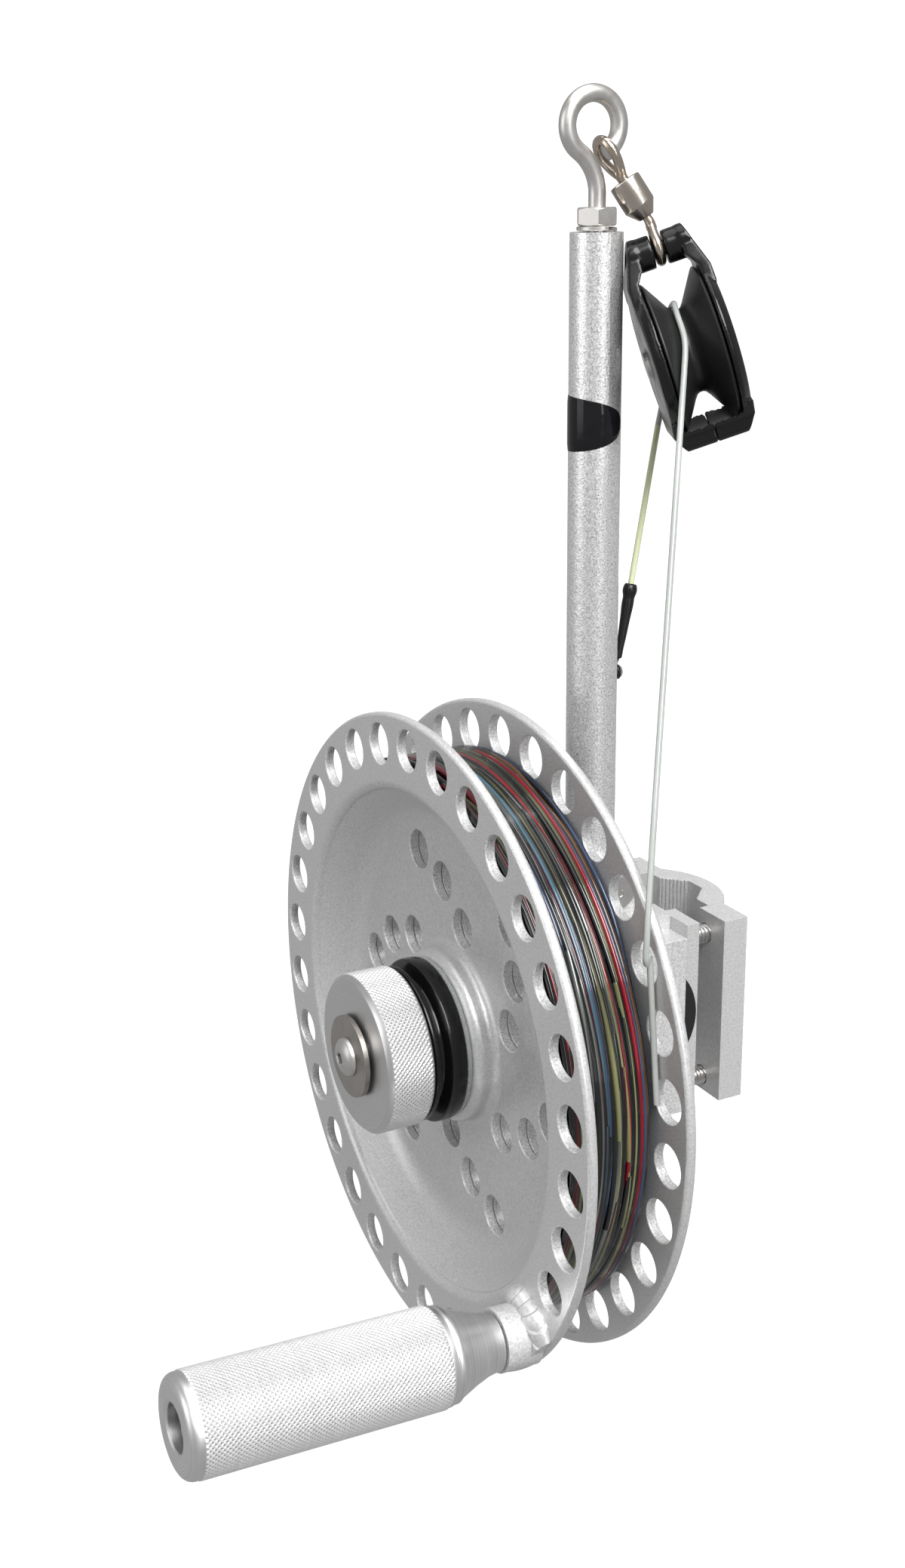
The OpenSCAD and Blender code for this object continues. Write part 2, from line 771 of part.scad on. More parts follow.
module mast_block() {
    color(silver) difference() {
        union() {
            translate([-block_w / 2, block_front, -block_bottom])
                cube([block_w, block_depth, block_bottom + block_top]);
            translate([-boss_w / 2, block_front, block_top - 0.01])
                cube([boss_w, block_depth, boss_h + 0.01]);
        }
        translate([0, seam_y + inner_flange_t, -block_bottom - 1])
            linear_extrude(block_bottom + boss_top + 2)
                mirror([0, 1, 0]) hump_outline(inner_flange_t - 1, face_gap);
        translate([0, mast_y, mast_foot]) cylinder(h = boss_top, d = mast_d + 2 * press, $fn = medium);
        translate([0, block_front - 1, 0]) rotate([-90, 0, 0])
            cylinder(h = block_depth, d = axle_d + 2 * press, $fn = medium);
        bolt_places() translate([0, block_front, 0]) rotate([-90, 0, 0]) translate([0, 0, -1])
            cylinder(h = block_depth + 2, d = clamp_bolt_d + 2 * face_gap, $fn = small);
        translate([-block_w, mast_y, cross_bolt_z]) rotate([0, 90, 0])
            cylinder(h = 2 * block_w, d = cross_bolt_d + 2 * press, $fn = small);
    }
}

cross_bolt_z = boss_top - cross_bolt_drop;
cross_af = 11.1;
cross_head_h = 4.4;

module mast() {
    color(silver) difference() {
        translate([0, mast_y, mast_foot]) cylinder(h = mast_top - mast_foot, d = mast_d, $fn = fine);
        translate([-mast_d, mast_y, cross_bolt_z]) rotate([0, 90, 0])
            cylinder(h = 2 * mast_d, d = cross_bolt_d + 2 * press, $fn = small);
        translate([0, mast_y, mast_top - eye_shank_l])
            cylinder(h = eye_shank_l + 1, d = eye_wire_d + 2 * press, $fn = small);
        at_keeper(keeper_z) translate([0, 0, -keeper_in])
            cylinder(h = 20, d = keeper_shank_d + 2 * press, $fn = small);
    }
}

module mast_bolt() {
    reach = boss_w / 2 + 6.2;
    color(steel) translate([0, mast_y, cross_bolt_z]) rotate([0, 90, 0]) {
        translate([0, 0, -reach]) cylinder(h = reach + boss_w / 2, d = cross_bolt_d, $fn = small);
        translate([0, 0, boss_w / 2]) hexagon(cross_af, cross_head_h);
    }
}

module mast_bolt_nut() {
    color(steel) translate([-boss_w / 2, mast_y, cross_bolt_z]) rotate([0, -90, 0]) difference() {
        hexagon(cross_af, 5.4);
        translate([0, 0, -1]) cylinder(h = 8, d = cross_bolt_d + 2 * press, $fn = small);
    }
}

// A thin oval wrapped round the mast, left plain.
module mast_label() {
    steps = 48;
    inner = mast_d / 2 + press;
    middle = pulley_turn - 182;
    corners = [for (i = [0 : steps])
        let (
            s = -1 + 2 * i / steps,
            turn = middle + label_arc * s,
            half = max(0.3, label_h / 2 * sqrt(1 - s * s)),
            way = [cos(turn), sin(turn)]
        )
        each [
            [inner * way.x, inner * way.y, -half], [inner * way.x, inner * way.y, half],
            [(inner + label_t) * way.x, (inner + label_t) * way.y, half],
            [(inner + label_t) * way.x, (inner + label_t) * way.y, -half]
        ]];
    end = 4 * steps;
    color(black) translate([0, mast_y, label_z]) polyhedron(
        points = corners,
        faces = concat(
            [[0, 3, 2], [0, 2, 1], [end, end + 2, end + 3], [end, end + 1, end + 2]],
            [for (f = tube_sides(steps + 1, 4)) [f[0], f[1], f[2]]]
        ),
        convexity = 6
    );
}

// The eyebolt's wire lies in the plane x = 0; its shank stands on the mast's axis.
eye_shank_l = 20;
eye_shift = -1.49;
eye_z = mast_top + eye_rise;
neck_z = mast_top + neck_rise;
neck_r = ((eye_z - neck_z) ^ 2 - eye_r ^ 2 + eye_shift ^ 2) / (2 * (eye_r - eye_shift));
neck_sweep = atan2(eye_z - neck_z, eye_shift + neck_r);
eye_end = -63;

module eyebolt() {
    neck = arc(mast_y - neck_r, neck_z, neck_r, 0, neck_sweep, 6);
    eye = arc(mast_y + eye_shift, eye_z, eye_r, 180 + neck_sweep, eye_end, 28);
    bent = concat([[mast_y, mast_top - eye_shank_l + 0.5]], neck, [for (i = [1 : len(eye) - 1]) eye[i]]);
    path = [for (p = bent) [0, p.x, p.y]];
    color(steel) tube(path, 0, len(path) - 1, eye_wire_d / 2, 16, [1, 0, 0]);
}

module lock_washer() {
    color(steel) translate([0, mast_y, mast_top]) ring(lock_washer_d, eye_wire_d + 2 * press, lock_washer_t);
}

module eyebolt_nut() {
    color(steel) translate([0, mast_y, mast_top + lock_washer_t]) rotate(pulley_turn - 90) difference() {
        hexagon(eye_nut_af, eye_nut_h);
        translate([0, 0, -1]) cylinder(h = eye_nut_h + 2, d = eye_wire_d + 2 * press, $fn = 24);
    }
}

// Frame of the pulley block: local X is the sheave's axis, local Z points to the top bar.
pulley_at = [
    pulley_out * cos(pulley_turn), mast_y + pulley_out * sin(pulley_turn), mast_top - pulley_drop
];

function turned(v) = [
    v.x * cos(pulley_turn) - v.y * sin(pulley_turn), v.x * sin(pulley_turn) + v.y * cos(pulley_turn), v.z
];

function leaned(v) = [
    v.x * cos(pulley_lean) - v.z * sin(pulley_lean), v.y, v.x * sin(pulley_lean) + v.z * cos(pulley_lean)
];

function from_block(v) = pulley_at + turned(leaned(v));

module on_block() {
    translate(pulley_at) rotate([0, -pulley_lean, pulley_turn]) children();
}

cheek_in = sheave_w / 2 + cheek_clearance;
cheek_out = cheek_in + cheek_t;
bar_gap = low_wire_d / 2 + 0.8;

module sheave() {
    rim = sheave_d / 2;
    half = sheave_w / 2;
    flat = 0.6;
    outline = [
        [sheave_pin_d / 2 + running, -half], [rim, -half], [rim, -half + flat], [groove_d / 2, -1],
        [groove_d / 2, 1], [rim, half - flat], [rim, half], [sheave_pin_d / 2 + running, half]
    ];
    color(black) on_block() rotate([0, 90, 0]) rotate_extrude($fn = fine) polygon(outline);
}

bar_face = 4.4;
bar_chamfer = 1.4;

module bottom_bar_outline() {
    half = bottom_bar_w / 2;
    foot = -bottom_bar_b;
    shoulder = [cheek_d * 0.33, -cheek_d * 0.37];
    polygon([
        [-shoulder.x, shoulder.y], [-half, foot + bar_face], [-half, foot + bar_chamfer],
        [-half + bar_chamfer, foot], [half - bar_chamfer, foot], [half, foot + bar_chamfer],
        [half, foot + bar_face], [shoulder.x, shoulder.y]
    ]);
}

// Half of the bottom bar with the gusset on its cheek; its end slants in towards the foot.
module half_bottom_bar() {
    intersection() {
        union() {
            translate([press, 0, 0]) rotate([90, 0, 90]) linear_extrude(cheek_out - press) difference() {
                bottom_bar_outline();
                circle(d = sheave_d + 2, $fn = fine);
            }
            translate([cheek_in, 0, 0]) rotate([90, 0, 90]) linear_extrude(cheek_t) bottom_bar_outline();
        }
        rotate([90, 0, 0]) translate([0, 0, -cheek_d]) linear_extrude(2 * cheek_d) polygon([
            [-1, 0], [cheek_out + 1, 0], [cheek_out + 1, 1.5 * bar_face - bottom_bar_b],
            [bottom_bar_l / 2, -bottom_bar_b], [bottom_bar_l / 2, -bottom_bar_b - 1],
            [-1, -bottom_bar_b - 1]
        ]);
    }
}

// One cheek with its halves of the top and bottom bars, on the side towards +X.
module cheek() {
    rim = cheek_d / 2;
    difference() {
        union() {
            rotate([0, 90, 0]) rotate_extrude($fn = fine) polygon([
                [0, cheek_in], [rim, cheek_in], [rim, cheek_in + 1.2], [rim - 2, cheek_out - 0.3],
                [rim - 4.5, cheek_out], [0, cheek_out]
            ]);
            intersection() {
                rotate([90, 0, 90]) linear_extrude(cheek_out) {
                    translate([0, top_bar_b]) circle(d = top_bar_d + 0.4, $fn = medium);
                    polygon([
                        [-top_bar_d / 2, top_bar_b], [top_bar_d / 2, top_bar_b], [rim * 0.55, rim * 0.77],
                        [-rim * 0.55, rim * 0.77]
                    ]);
                }
                rotate([90, 0, 0]) translate([0, 0, -rim]) linear_extrude(2 * rim) polygon([
                    [cheek_in, rim - 6], [cheek_out, rim - 6], [cheek_out, rim - 0.5],
                    [cheek_out - 4.2, top_bar_b + top_bar_d / 2 + 0.2],
                    [cheek_in - 2.6, top_bar_b + top_bar_d / 2 + 0.2], [cheek_in - 2.6, top_bar_b - 3.3],
                    [cheek_in, rim + 0.2]
                ]);
            }
            translate([bar_gap, 0, top_bar_b]) rotate([0, 90, 0])
                cylinder(h = cheek_in - 2 - bar_gap, d = top_bar_d, $fn = medium);
            half_bottom_bar();
        }
        rotate([0, 90, 0]) cylinder(h = 30, d = sheave_pin_d + 2 * press, $fn = medium);
        translate([0, 0, top_bar_b]) rotate([0, 90, 0])
            cylinder(h = 30, d = core_pin_d + 2 * press, $fn = small);
    }
}

module right_cheek() {
    color(black) on_block() cheek();
}

module left_cheek() {
    color(black) on_block() mirror([1, 0, 0]) cheek();
}

module core_pin() {
    reach = cheek_in - 2;
    color(black) on_block() translate([-reach, 0, top_bar_b]) rotate([0, 90, 0])
        cylinder(h = 2 * reach, d = core_pin_d, $fn = small);
}

module sheave_pin() {
    head = 1;
    color(steel) on_block() for (side = [0, 180]) rotate([0, 90 + side, 0]) {
        cylinder(h = cheek_out, d = sheave_pin_d, $fn = medium);
        translate([0, 0, cheek_out])
            cylinder(h = head, d1 = sheave_pin_d + 4, d2 = sheave_pin_d + 2, $fn = medium);
    }
}

// Frame of the swivel: its origin lies in the eyebolt's wire, where the upper eye hangs, and
// local -Z points along the barrel to the kink of the lower eye.
hook_turn = -60;
hook = [0, mast_y + eye_shift + eye_r * cos(hook_turn), eye_z + eye_r * sin(hook_turn)];
hook_wire = [0, -sin(hook_turn), cos(hook_turn)];
kink_b = top_bar_b + 8.2;
kink = from_block([0, 0, kink_b]);
kink_drop = norm(kink - hook);
swivel_way = (kink - hook) / kink_drop;
swivel_tip = acos(-swivel_way.z);
swivel_turn = atan2(-swivel_way.y, -swivel_way.x);
tipped_x = [cos(swivel_tip) * cos(swivel_turn), cos(swivel_tip) * sin(swivel_turn), -sin(swivel_tip)];
tipped_y = [-sin(swivel_turn), cos(swivel_turn), 0];
eye_roll = atan2(hook_wire * tipped_y, hook_wire * tipped_x);

module on_swivel(z = 0) {
    translate(hook) rotate([0, swivel_tip, swivel_turn]) rotate(eye_roll) translate([0, 0, z]) children();
}

top_wire_r = top_wire_d / 2;
top_eye_r = eye_wire_d / 2 + top_eye_clearance + top_wire_r;
shank_r = 1.3;
barrel_cavity_r = 3;
cavity_drop = 2.7;
cavity_h = 3;
lower_wire_r = low_wire_d / 2;
lower_eye_in = core_pin_d / 2 + 0.8;
lower_eye_r = lower_eye_in + lower_wire_r;

module half_eye(r, wire) {
    rotate([90, 0, 90]) rotate_extrude(angle = 180, $fn = medium)
        translate([r, 0]) circle(r = wire, $fn = 20);
}

module swivel_eye_top() {
    sag = top_eye_clearance - apart;
    foot = 1 - barrel_drop;
    head_from = -barrel_drop - cavity_drop - apart;
    color("tan") on_swivel() {
        translate([0, 0, -sag]) half_eye(top_eye_r, top_wire_r);
        for (side = [-1, 1]) {
            translate([0, side * top_eye_r, -sag]) sphere(r = top_wire_r, $fn = 20);
            rod([0, side * top_eye_r, -sag], [0, side * 0.6, foot], top_wire_r);
        }
        translate([0, 0, head_from - 1]) cylinder(h = foot - head_from + 1, r = shank_r, $fn = 24);
        translate([0, 0, foot]) sphere(r = 1.6, $fn = 24);
        translate([0, 0, head_from - cavity_h + 2 * apart])
            cylinder(h = cavity_h - 2 * apart, r = barrel_cavity_r - apart, $fn = small);
    }
}

module swivel_barrel() {
    r = barrel_d / 2;
    top_bore = shank_r + running;
    low_bore = shank_r + press;
    cavity = barrel_l - cavity_drop - cavity_h;
    outline = [
        [low_bore, 0], [r - 1.5, 0], [r, 2.6], [r, barrel_l - 0.5], [r - 0.5, barrel_l],
        [top_bore, barrel_l], [top_bore, cavity + cavity_h], [barrel_cavity_r, cavity + cavity_h],
        [barrel_cavity_r, cavity], [low_bore, cavity]
    ];
    color("tan") on_swivel(-barrel_drop - barrel_l) rotate_extrude($fn = medium) polygon(outline);
}

module swivel_eye_bottom() {
    sag = lower_eye_in - core_pin_d / 2 - 0.25;
    color("tan") {
        on_swivel(-kink_drop)
            cylinder(h = kink_drop - barrel_drop - cavity_drop - cavity_h - 1, r = shank_r, $fn = 24);
        on_block() {
            translate([0, 0, kink_b]) sphere(r = shank_r + 0.2, $fn = 24);
            rod([0, 0, top_bar_b + 6.4], [0, 0, kink_b], shank_r + 0.2);
            translate([0, 0, top_bar_b + sag]) rotate([180, 0, 0]) half_eye(lower_eye_r, lower_wire_r);
            for (side = [-1, 1]) {
                translate([0, side * lower_eye_r, top_bar_b + sag]) sphere(r = lower_wire_r, $fn = 20);
                rod([0, side * lower_eye_r, top_bar_b + sag], [0, side * 0.6, top_bar_b + 7], lower_wire_r);
            }
            translate([0, 0, top_bar_b + 6.8]) sphere(r = 1.8, $fn = 24);
        }
    }
}

// The line's free route: hand-picked points from the winding up to the pulley, over the sheave,
// given in the block's frame, and down to the sleeve on the mast's side.
up_points = [[90.5, -59.2, 11], [88, -59.2, 31.5], [85.3, -59.2, 54], [83.6, -58.9, 66]];
over_points = [
    [-8.6, -24.2, -11.3], [-5.6, -21.2, -4.5], [-3.3, -18.3, 0.6], [-1.5, -15.2, 4.6],
    [-1.1, -12.6, 8], [-1, -8.5, 12], [-0.5, -3.8, 14.2], [0, 1.8, 14.6],
    [-0.6, 7.5, 13], [-2, 12.7, 10.7], [-3.5, 17.4, 7],
    [-5.2, 21.1, 2.2], [-6.8, 23.4, -3.3], [-8.2, 23.1, -8.4], [-9.2, 21.3, -12.6], [-14, 19.3, -21]
];
ring_gap = 5;

function spaced(a, b) = let (n = max(1, round(norm(b - a) / ring_gap)))
    [for (i = [0 : n - 1]) a + (b - a) * i / n];

over_route = [for (p = over_points) from_block(p)];
up_stops = concat(up_points, [over_route[0]]);
up_route = [for (i = [0 : len(up_stops) - 2]) each spaced(up_stops[i], up_stops[i + 1])];
keeper_z = 111;
keeper_way = pulley_turn + 28;
keeper_in = 5;
keeper_shank_d = 2.4;
snap_top = 117.5;
snap_r = mast_d / 2 + 2.3;
crimp_l = 3.6;
line_end = side_point(snap_r, snap_top);
leaving = over_route[len(over_route) - 1];
sleeve_bottom = snap_top + 3;
sleeve_share = (leaving.z - sleeve_bottom - sleeve_l) / (leaving.z - snap_top);
down_route = concat(spaced(leaving, line_end), [line_end]);
route = concat(up_route, over_route, [for (i = [1 : len(down_route) - 1]) down_route[i]]);
over_from = len(up_route);
down_from = over_from + len(over_route) - 1;
sheave_axis = turned(leaned([1, 0, 0]));

function side_point(r, z) = [r * cos(keeper_way), mast_y + r * sin(keeper_way), z];

module at_keeper(z) {
    translate([0, mast_y, z]) rotate(keeper_way) rotate([0, 90, 0]) translate([0, 0, mast_d / 2]) children();
}

module line_up() {
    color("lightblue") tube(route, 0, over_from, line_d / 2, 8, sheave_axis);
}

module line_over() {
    color("lightblue") tube(route, over_from, down_from, line_d / 2, 8, sheave_axis);
}

module line_down() {
    color("beige") tube(route, down_from, len(route) - 1, line_d / 2, 8, sheave_axis);
}

// The shrink sleeve stands clear round the straight end of the line.
module line_sleeve() {
    way = line_end - leaving;
    top = leaving + way * sleeve_share;
    low = leaving + way * (leaving.z - sleeve_bottom) / (leaving.z - snap_top);
    l = norm(low - top);
    color(black) translate(top) rotate([0, acos((low - top).z / l), atan2((low - top).y, (low - top).x)])
        rotate_extrude($fn = small) polygon([
            [line_d / 2 + press, 0], [sleeve_d / 2 - 0.3, 0], [sleeve_d / 2, 0.6], [sleeve_d / 2, l * 0.6],
            [line_d / 2 + 0.35, l], [line_d / 2 + press, l]
        ]);
}

// A black crimp on the line's end, with an eye that lies round the keeper screw.
module line_snap() {
    way = unit(line_end - leaving);
    crimp_end = line_end + crimp_l * way;
    eye_d = keeper_shank_d + 2.4;
    color(black) {
        at_keeper(keeper_z) translate([0, 0, apart]) ring(eye_d, keeper_shank_d + 2 * face_gap, 0.9);
        rod(line_end, crimp_end, 1.15);
        rod(crimp_end - 0.4 * way,
            side_point(mast_d / 2 + apart + 0.45, keeper_z + eye_d / 2 - 0.4), 0.44);
    }
}

module line_keeper() {
    color(steel) at_keeper(keeper_z) {
        translate([0, 0, -keeper_in + 0.3]) cylinder(h = keeper_in + 1.4, d = keeper_shank_d, $fn = 24);
        translate([0, 0, 1.4]) cylinder(h = 1.1, d1 = 5, d2 = 3.6, $fn = 24);
    }
}

mast_block();
mast();
mast_bolt();
mast_bolt_nut();
eyebolt();
eyebolt_nut();
lock_washer();
mast_label();
inner_jaw();
outer_jaw();
jaw_pad();
clamp_bolts();
clamp_washers();
axle();
axle_nut();
axle_spacer();
thrust_washer();
friction_washer();
brake_disc();
drag_knob();
fender_washer();
end_screw();
front_dish();
rear_dish();
hub_bushings();
line_core();
line_winding();
handle_stub();
weld_bead();
handle_bolt();
handle_cone();
grip();
swivel_eye_top();
swivel_barrel();
swivel_eye_bottom();
left_cheek();
right_cheek();
core_pin();
sheave_pin();
sheave();
line_up();
line_over();
line_down();
line_sleeve();
line_snap();
line_keeper();
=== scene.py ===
import math

import bpy
import numpy as np
from mathutils import Matrix, Vector


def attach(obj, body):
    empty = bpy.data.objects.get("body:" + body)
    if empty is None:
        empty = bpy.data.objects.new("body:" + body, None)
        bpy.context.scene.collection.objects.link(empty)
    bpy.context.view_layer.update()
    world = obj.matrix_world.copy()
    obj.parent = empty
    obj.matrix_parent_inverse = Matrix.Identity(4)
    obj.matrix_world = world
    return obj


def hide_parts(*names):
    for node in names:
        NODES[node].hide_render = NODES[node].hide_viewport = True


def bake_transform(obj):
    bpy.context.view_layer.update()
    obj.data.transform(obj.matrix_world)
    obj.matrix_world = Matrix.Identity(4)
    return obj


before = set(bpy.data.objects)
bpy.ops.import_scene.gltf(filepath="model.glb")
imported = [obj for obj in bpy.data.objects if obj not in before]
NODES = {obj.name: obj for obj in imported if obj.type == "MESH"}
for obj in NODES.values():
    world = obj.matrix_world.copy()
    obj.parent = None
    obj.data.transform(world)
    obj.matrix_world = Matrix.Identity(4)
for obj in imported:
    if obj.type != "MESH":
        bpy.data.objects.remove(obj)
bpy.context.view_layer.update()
MM = 0.001


# Frames, in millimetres, as in part.scad.
def shift(x, y, z):
    return Matrix.Translation((x, y, z))


def turn(degrees, axis):
    return Matrix.Rotation(math.radians(degrees), 4, axis)


MAST_R = 15.875 / 2
MAST_Y = -26.41
SPOOL_Y = -72.35
SPOOL = shift(0, SPOOL_Y, 0) @ turn(90, "X")

# The dishes: inner and outer face of the flange, and the circle of its rim holes.
FLANGE_IN, FLANGE_OUT = 14.4, 17.6
RIM_CIRCLE_R = 94.975
RIM_STEP = 12

# The handle stands on the flange, a little off square.
HANDLE_TURN = -42.4
HANDLE_OUT = 96.175
HANDLE_LEAN = 2.6
HANDLE = (
    SPOOL @ shift(0, 0, FLANGE_OUT) @ turn(HANDLE_TURN, "Z") @ shift(HANDLE_OUT, 0, 0)
    @ turn(-HANDLE_TURN, "Z") @ turn(-HANDLE_LEAN, "X")
)

# The pulley block hangs beside the mast, turned and leaning.
PULLEY_TURN = 62.6
PULLEY_LEAN = 18.5
PULLEY_OUT = 27.8
PULLEY_Z = 210.1
PULLEY_X = PULLEY_OUT * math.cos(math.radians(PULLEY_TURN))
PULLEY_Y = MAST_Y + PULLEY_OUT * math.sin(math.radians(PULLEY_TURN))
BLOCK = shift(PULLEY_X, PULLEY_Y, PULLEY_Z) @ turn(PULLEY_TURN, "Z") @ turn(-PULLEY_LEAN, "Y")

# The eye of the eyebolt, and the swivel from its low side to the kink over the pulley's pin.
EYE_OFF = 1.49
EYE_Y, EYE_Z, EYE_R = MAST_Y - EYE_OFF, 274.0, 8.7
HOOK_ANGLE = -60
HOOK_TURN = math.radians(HOOK_ANGLE)
HOOK = Vector((0, EYE_Y + EYE_R * math.cos(HOOK_TURN), EYE_Z + EYE_R * math.sin(HOOK_TURN)))
KINK = BLOCK @ Vector((0, 0, 39.0))
WAY = (KINK - HOOK).normalized()
TIP = math.degrees(math.acos(-WAY.z))
SWIVEL_TURN = math.degrees(math.atan2(-WAY.y, -WAY.x))
TIPPED = turn(SWIVEL_TURN, "Z") @ turn(TIP, "Y")
WIRE_WAY = Vector((0, -math.sin(HOOK_TURN), math.cos(HOOK_TURN)))
WIRE_ON_Y = WIRE_WAY.dot(TIPPED @ Vector((0, 1, 0)))
WIRE_ON_X = WIRE_WAY.dot(TIPPED @ Vector((1, 0, 0)))
SWIVEL = Matrix.Translation(HOOK) @ TIPPED @ turn(math.degrees(math.atan2(WIRE_ON_Y, WIRE_ON_X)), "Z")

# The screw that keeps the line's end stands on the mast's far side.
KEEPER_TURN = 90.6


# The camera stands where the photograph's was: its azimuth, elevation and roll, its place and its lens.
CAMERA_ANGLES = (62.6174, 18.0176, -0.6843)
CAMERA_AT = (0.494896, -0.332292, 0.264382)
CAMERA_LENS, CAMERA_SENSOR = 43.916, 36


def add_camera():
    az, el, roll = (math.radians(v) for v in CAMERA_ANGLES)
    back = Vector((math.sin(az) * math.cos(el), -math.cos(az) * math.cos(el), math.sin(el)))
    right = Vector((math.cos(az), math.sin(az), 0))
    up = back.cross(right)
    side = math.cos(roll) * right + math.sin(roll) * up
    top = -math.sin(roll) * right + math.cos(roll) * up
    data = bpy.data.cameras.new("camera")
    data.sensor_fit = "VERTICAL"
    data.sensor_height = CAMERA_SENSOR
    data.lens = CAMERA_LENS
    data.clip_start = 0.01
    data.clip_end = 60
    cam = bpy.data.objects.new("camera", data)
    m = Matrix((side, top, back)).transposed().to_4x4()
    m.translation = CAMERA_AT
    cam.matrix_world = m
    bpy.context.scene.collection.objects.link(cam)
    bpy.context.scene.camera = cam


add_camera()


# Materials.
class Mat:
    def __init__(self, name):
        self.m = bpy.data.materials.new(name)
        self.m.use_nodes = True
        self.t = self.m.node_tree
        self.b = next(n for n in self.t.nodes if n.type == "BSDF_PRINCIPLED")
        self.coord = None

    def node(self, kind, **props):
        n = self.t.nodes.new(kind)
        for k, v in props.items():
            setattr(n, k, v)
        return n

    def link(self, a, b):
        self.t.links.new(a, b)

    def put(self, **sockets):
        for k, v in sockets.items():
            self.b.inputs[k.replace("_", " ")].default_value = v

    def where(self):
        if self.coord is None:
            self.coord = self.node("ShaderNodeTexCoord").outputs["Object"]
        return self.coord

    def noise(self, scale, detail=2.0, rough=0.5, stretch=None, vector=None, distort=0.0, seed=None):
        n = self.node("ShaderNodeTexNoise")
        if seed is not None:
            n.noise_dimensions = "4D"
            n.inputs["W"].default_value = seed
        wanted = (("Scale", scale), ("Detail", detail), ("Roughness", rough), ("Distortion", distort))
        for key, value in wanted:
            n.inputs[key].default_value = value
        v = vector or self.where()
        if stretch:
            s = self.node("ShaderNodeVectorMath", operation="MULTIPLY")
            s.inputs[1].default_value = stretch
            self.link(v, s.inputs[0])
            v = s.outputs[0]
        self.link(v, n.inputs["Vector"])
        return n.outputs["Fac"]

    def spread(self, fac, low, high, lo=0.3, hi=0.7):
        n = self.node("ShaderNodeMapRange")
        for key, value in (("From Min", lo), ("From Max", hi), ("To Min", low), ("To Max", high)):
            n.inputs[key].default_value = value
        self.link(fac, n.inputs["Value"])
        return n.outputs["Result"]

    def ramp(self, fac, *stops):
        n = self.node("ShaderNodeValToRGB")
        e = n.color_ramp.elements
        while len(e) < len(stops):
            e.new(0.5)
        for k, (at, c) in enumerate(stops):
            e[k].position = at
            e[k].color = (*c, 1) if len(c) == 3 else c
        self.link(fac, n.inputs["Fac"])
        return n.outputs["Color"]

    def mix(self, fac, a, b):
        n = self.node("ShaderNodeMix", data_type="RGBA", blend_type="MIX")
        for value, sock in ((fac, n.inputs[0]), (a, n.inputs[6]), (b, n.inputs[7])):
            if hasattr(value, "is_linked"):
                self.link(value, sock)
            else:
                sock.default_value = value
        return n.outputs[2]

    def colour(self, out):
        self.link(out, self.b.inputs["Base Color"])

    def rough(self, out):
        self.link(out, self.b.inputs["Roughness"])

    def bump(self, *layers):
        last = None
        for height, strength, distance in layers:
            n = self.node("ShaderNodeBump")
            n.inputs["Strength"].default_value = strength
            n.inputs["Distance"].default_value = distance
            self.link(height, n.inputs["Height"])
            if last:
                self.link(last, n.inputs["Normal"])
            last = n.outputs["Normal"]
        self.link(last, self.b.inputs["Normal"])


def grey(v, warm=0.0):
    return (v * (1 + warm), v, v * (1 - warm))


def coat(name, base, grain, deep, rough, metal=0.5, speck=0.12, cloudy=0.22):
    """Bead-blasted, clear-anodised aluminium: a fine pebbled grain with bright and dark specks."""
    m = Mat(name)
    fine = m.noise(grain, 2.0, 0.6)
    coarse = m.noise(grain * 0.28, 2.0, 0.5)
    cloud = m.noise(22, 3.0, 0.6)
    dark, pale = grey(base * (1 - speck * 1.6)), grey(min(1, base * (1 + speck * 1.5)))
    tone = m.ramp(fine, (0.30, dark), (0.5, grey(base)), (0.72, pale))
    tone = m.mix(m.spread(cloud, 0.0, cloudy), tone, (*grey(base * 0.86, 0.012), 1))
    m.colour(tone)
    m.rough(m.spread(fine, rough - 0.07, rough + 0.09))
    m.bump((fine, deep, 0.00012), (coarse, deep * 0.5, 0.0003))
    m.put(Metallic=metal)
    return m.m


def turned(name, base, centre, axis, rough=0.26, freq=2600, knurled=False):
    """Turned aluminium with fine circular tool marks about an axis through centre; when knurled, painted
    shade darkens the knurl's valleys.
    """
    m = Mat(name)
    sub = m.node("ShaderNodeVectorMath", operation="SUBTRACT")
    sub.inputs[1].default_value = centre
    m.link(m.where(), sub.inputs[0])
    dot = m.node("ShaderNodeVectorMath", operation="DOT_PRODUCT")
    dot.inputs[1].default_value = axis
    m.link(sub.outputs[0], dot.inputs[0])
    cross = m.node("ShaderNodeVectorMath", operation="CROSS_PRODUCT")
    cross.inputs[1].default_value = axis
    m.link(sub.outputs[0], cross.inputs[0])
    length = m.node("ShaderNodeVectorMath", operation="LENGTH")
    m.link(cross.outputs[0], length.inputs[0])
    pair = m.node("ShaderNodeCombineXYZ")
    m.link(dot.outputs["Value"], pair.inputs[0])
    m.link(length.outputs["Value"], pair.inputs[1])
    rings = m.noise(freq, 3.0, 0.7, vector=pair.outputs[0])
    grain = m.noise(900, 2.0, 0.5)
    tone = m.ramp(rings, (0.3, grey(base * 0.84)), (0.55, grey(base)), (0.75, grey(min(1, base * 1.1))))
    if knurled:
        # Painted shade: the knurl's valleys are darkened by how low each point stands.
        peak = m.node("ShaderNodeAttribute", attribute_name="peak")
        tone = m.mix(m.spread(peak.outputs["Fac"], 0.0, 1.0, 0.05, 0.55), (*grey(base * 0.22), 1), tone)
    m.colour(tone)
    wear = 0.015 if knurled else 0.05
    m.rough(m.spread(m.noise(160, 3.0, 0.6), rough - wear, rough + wear * 1.4))
    m.bump((rings, 0.04 if knurled else 0.14, 0.00004), (grain, 0.08, 0.00005))
    m.put(Metallic=0.75 if knurled else 1.0)
    return m.m


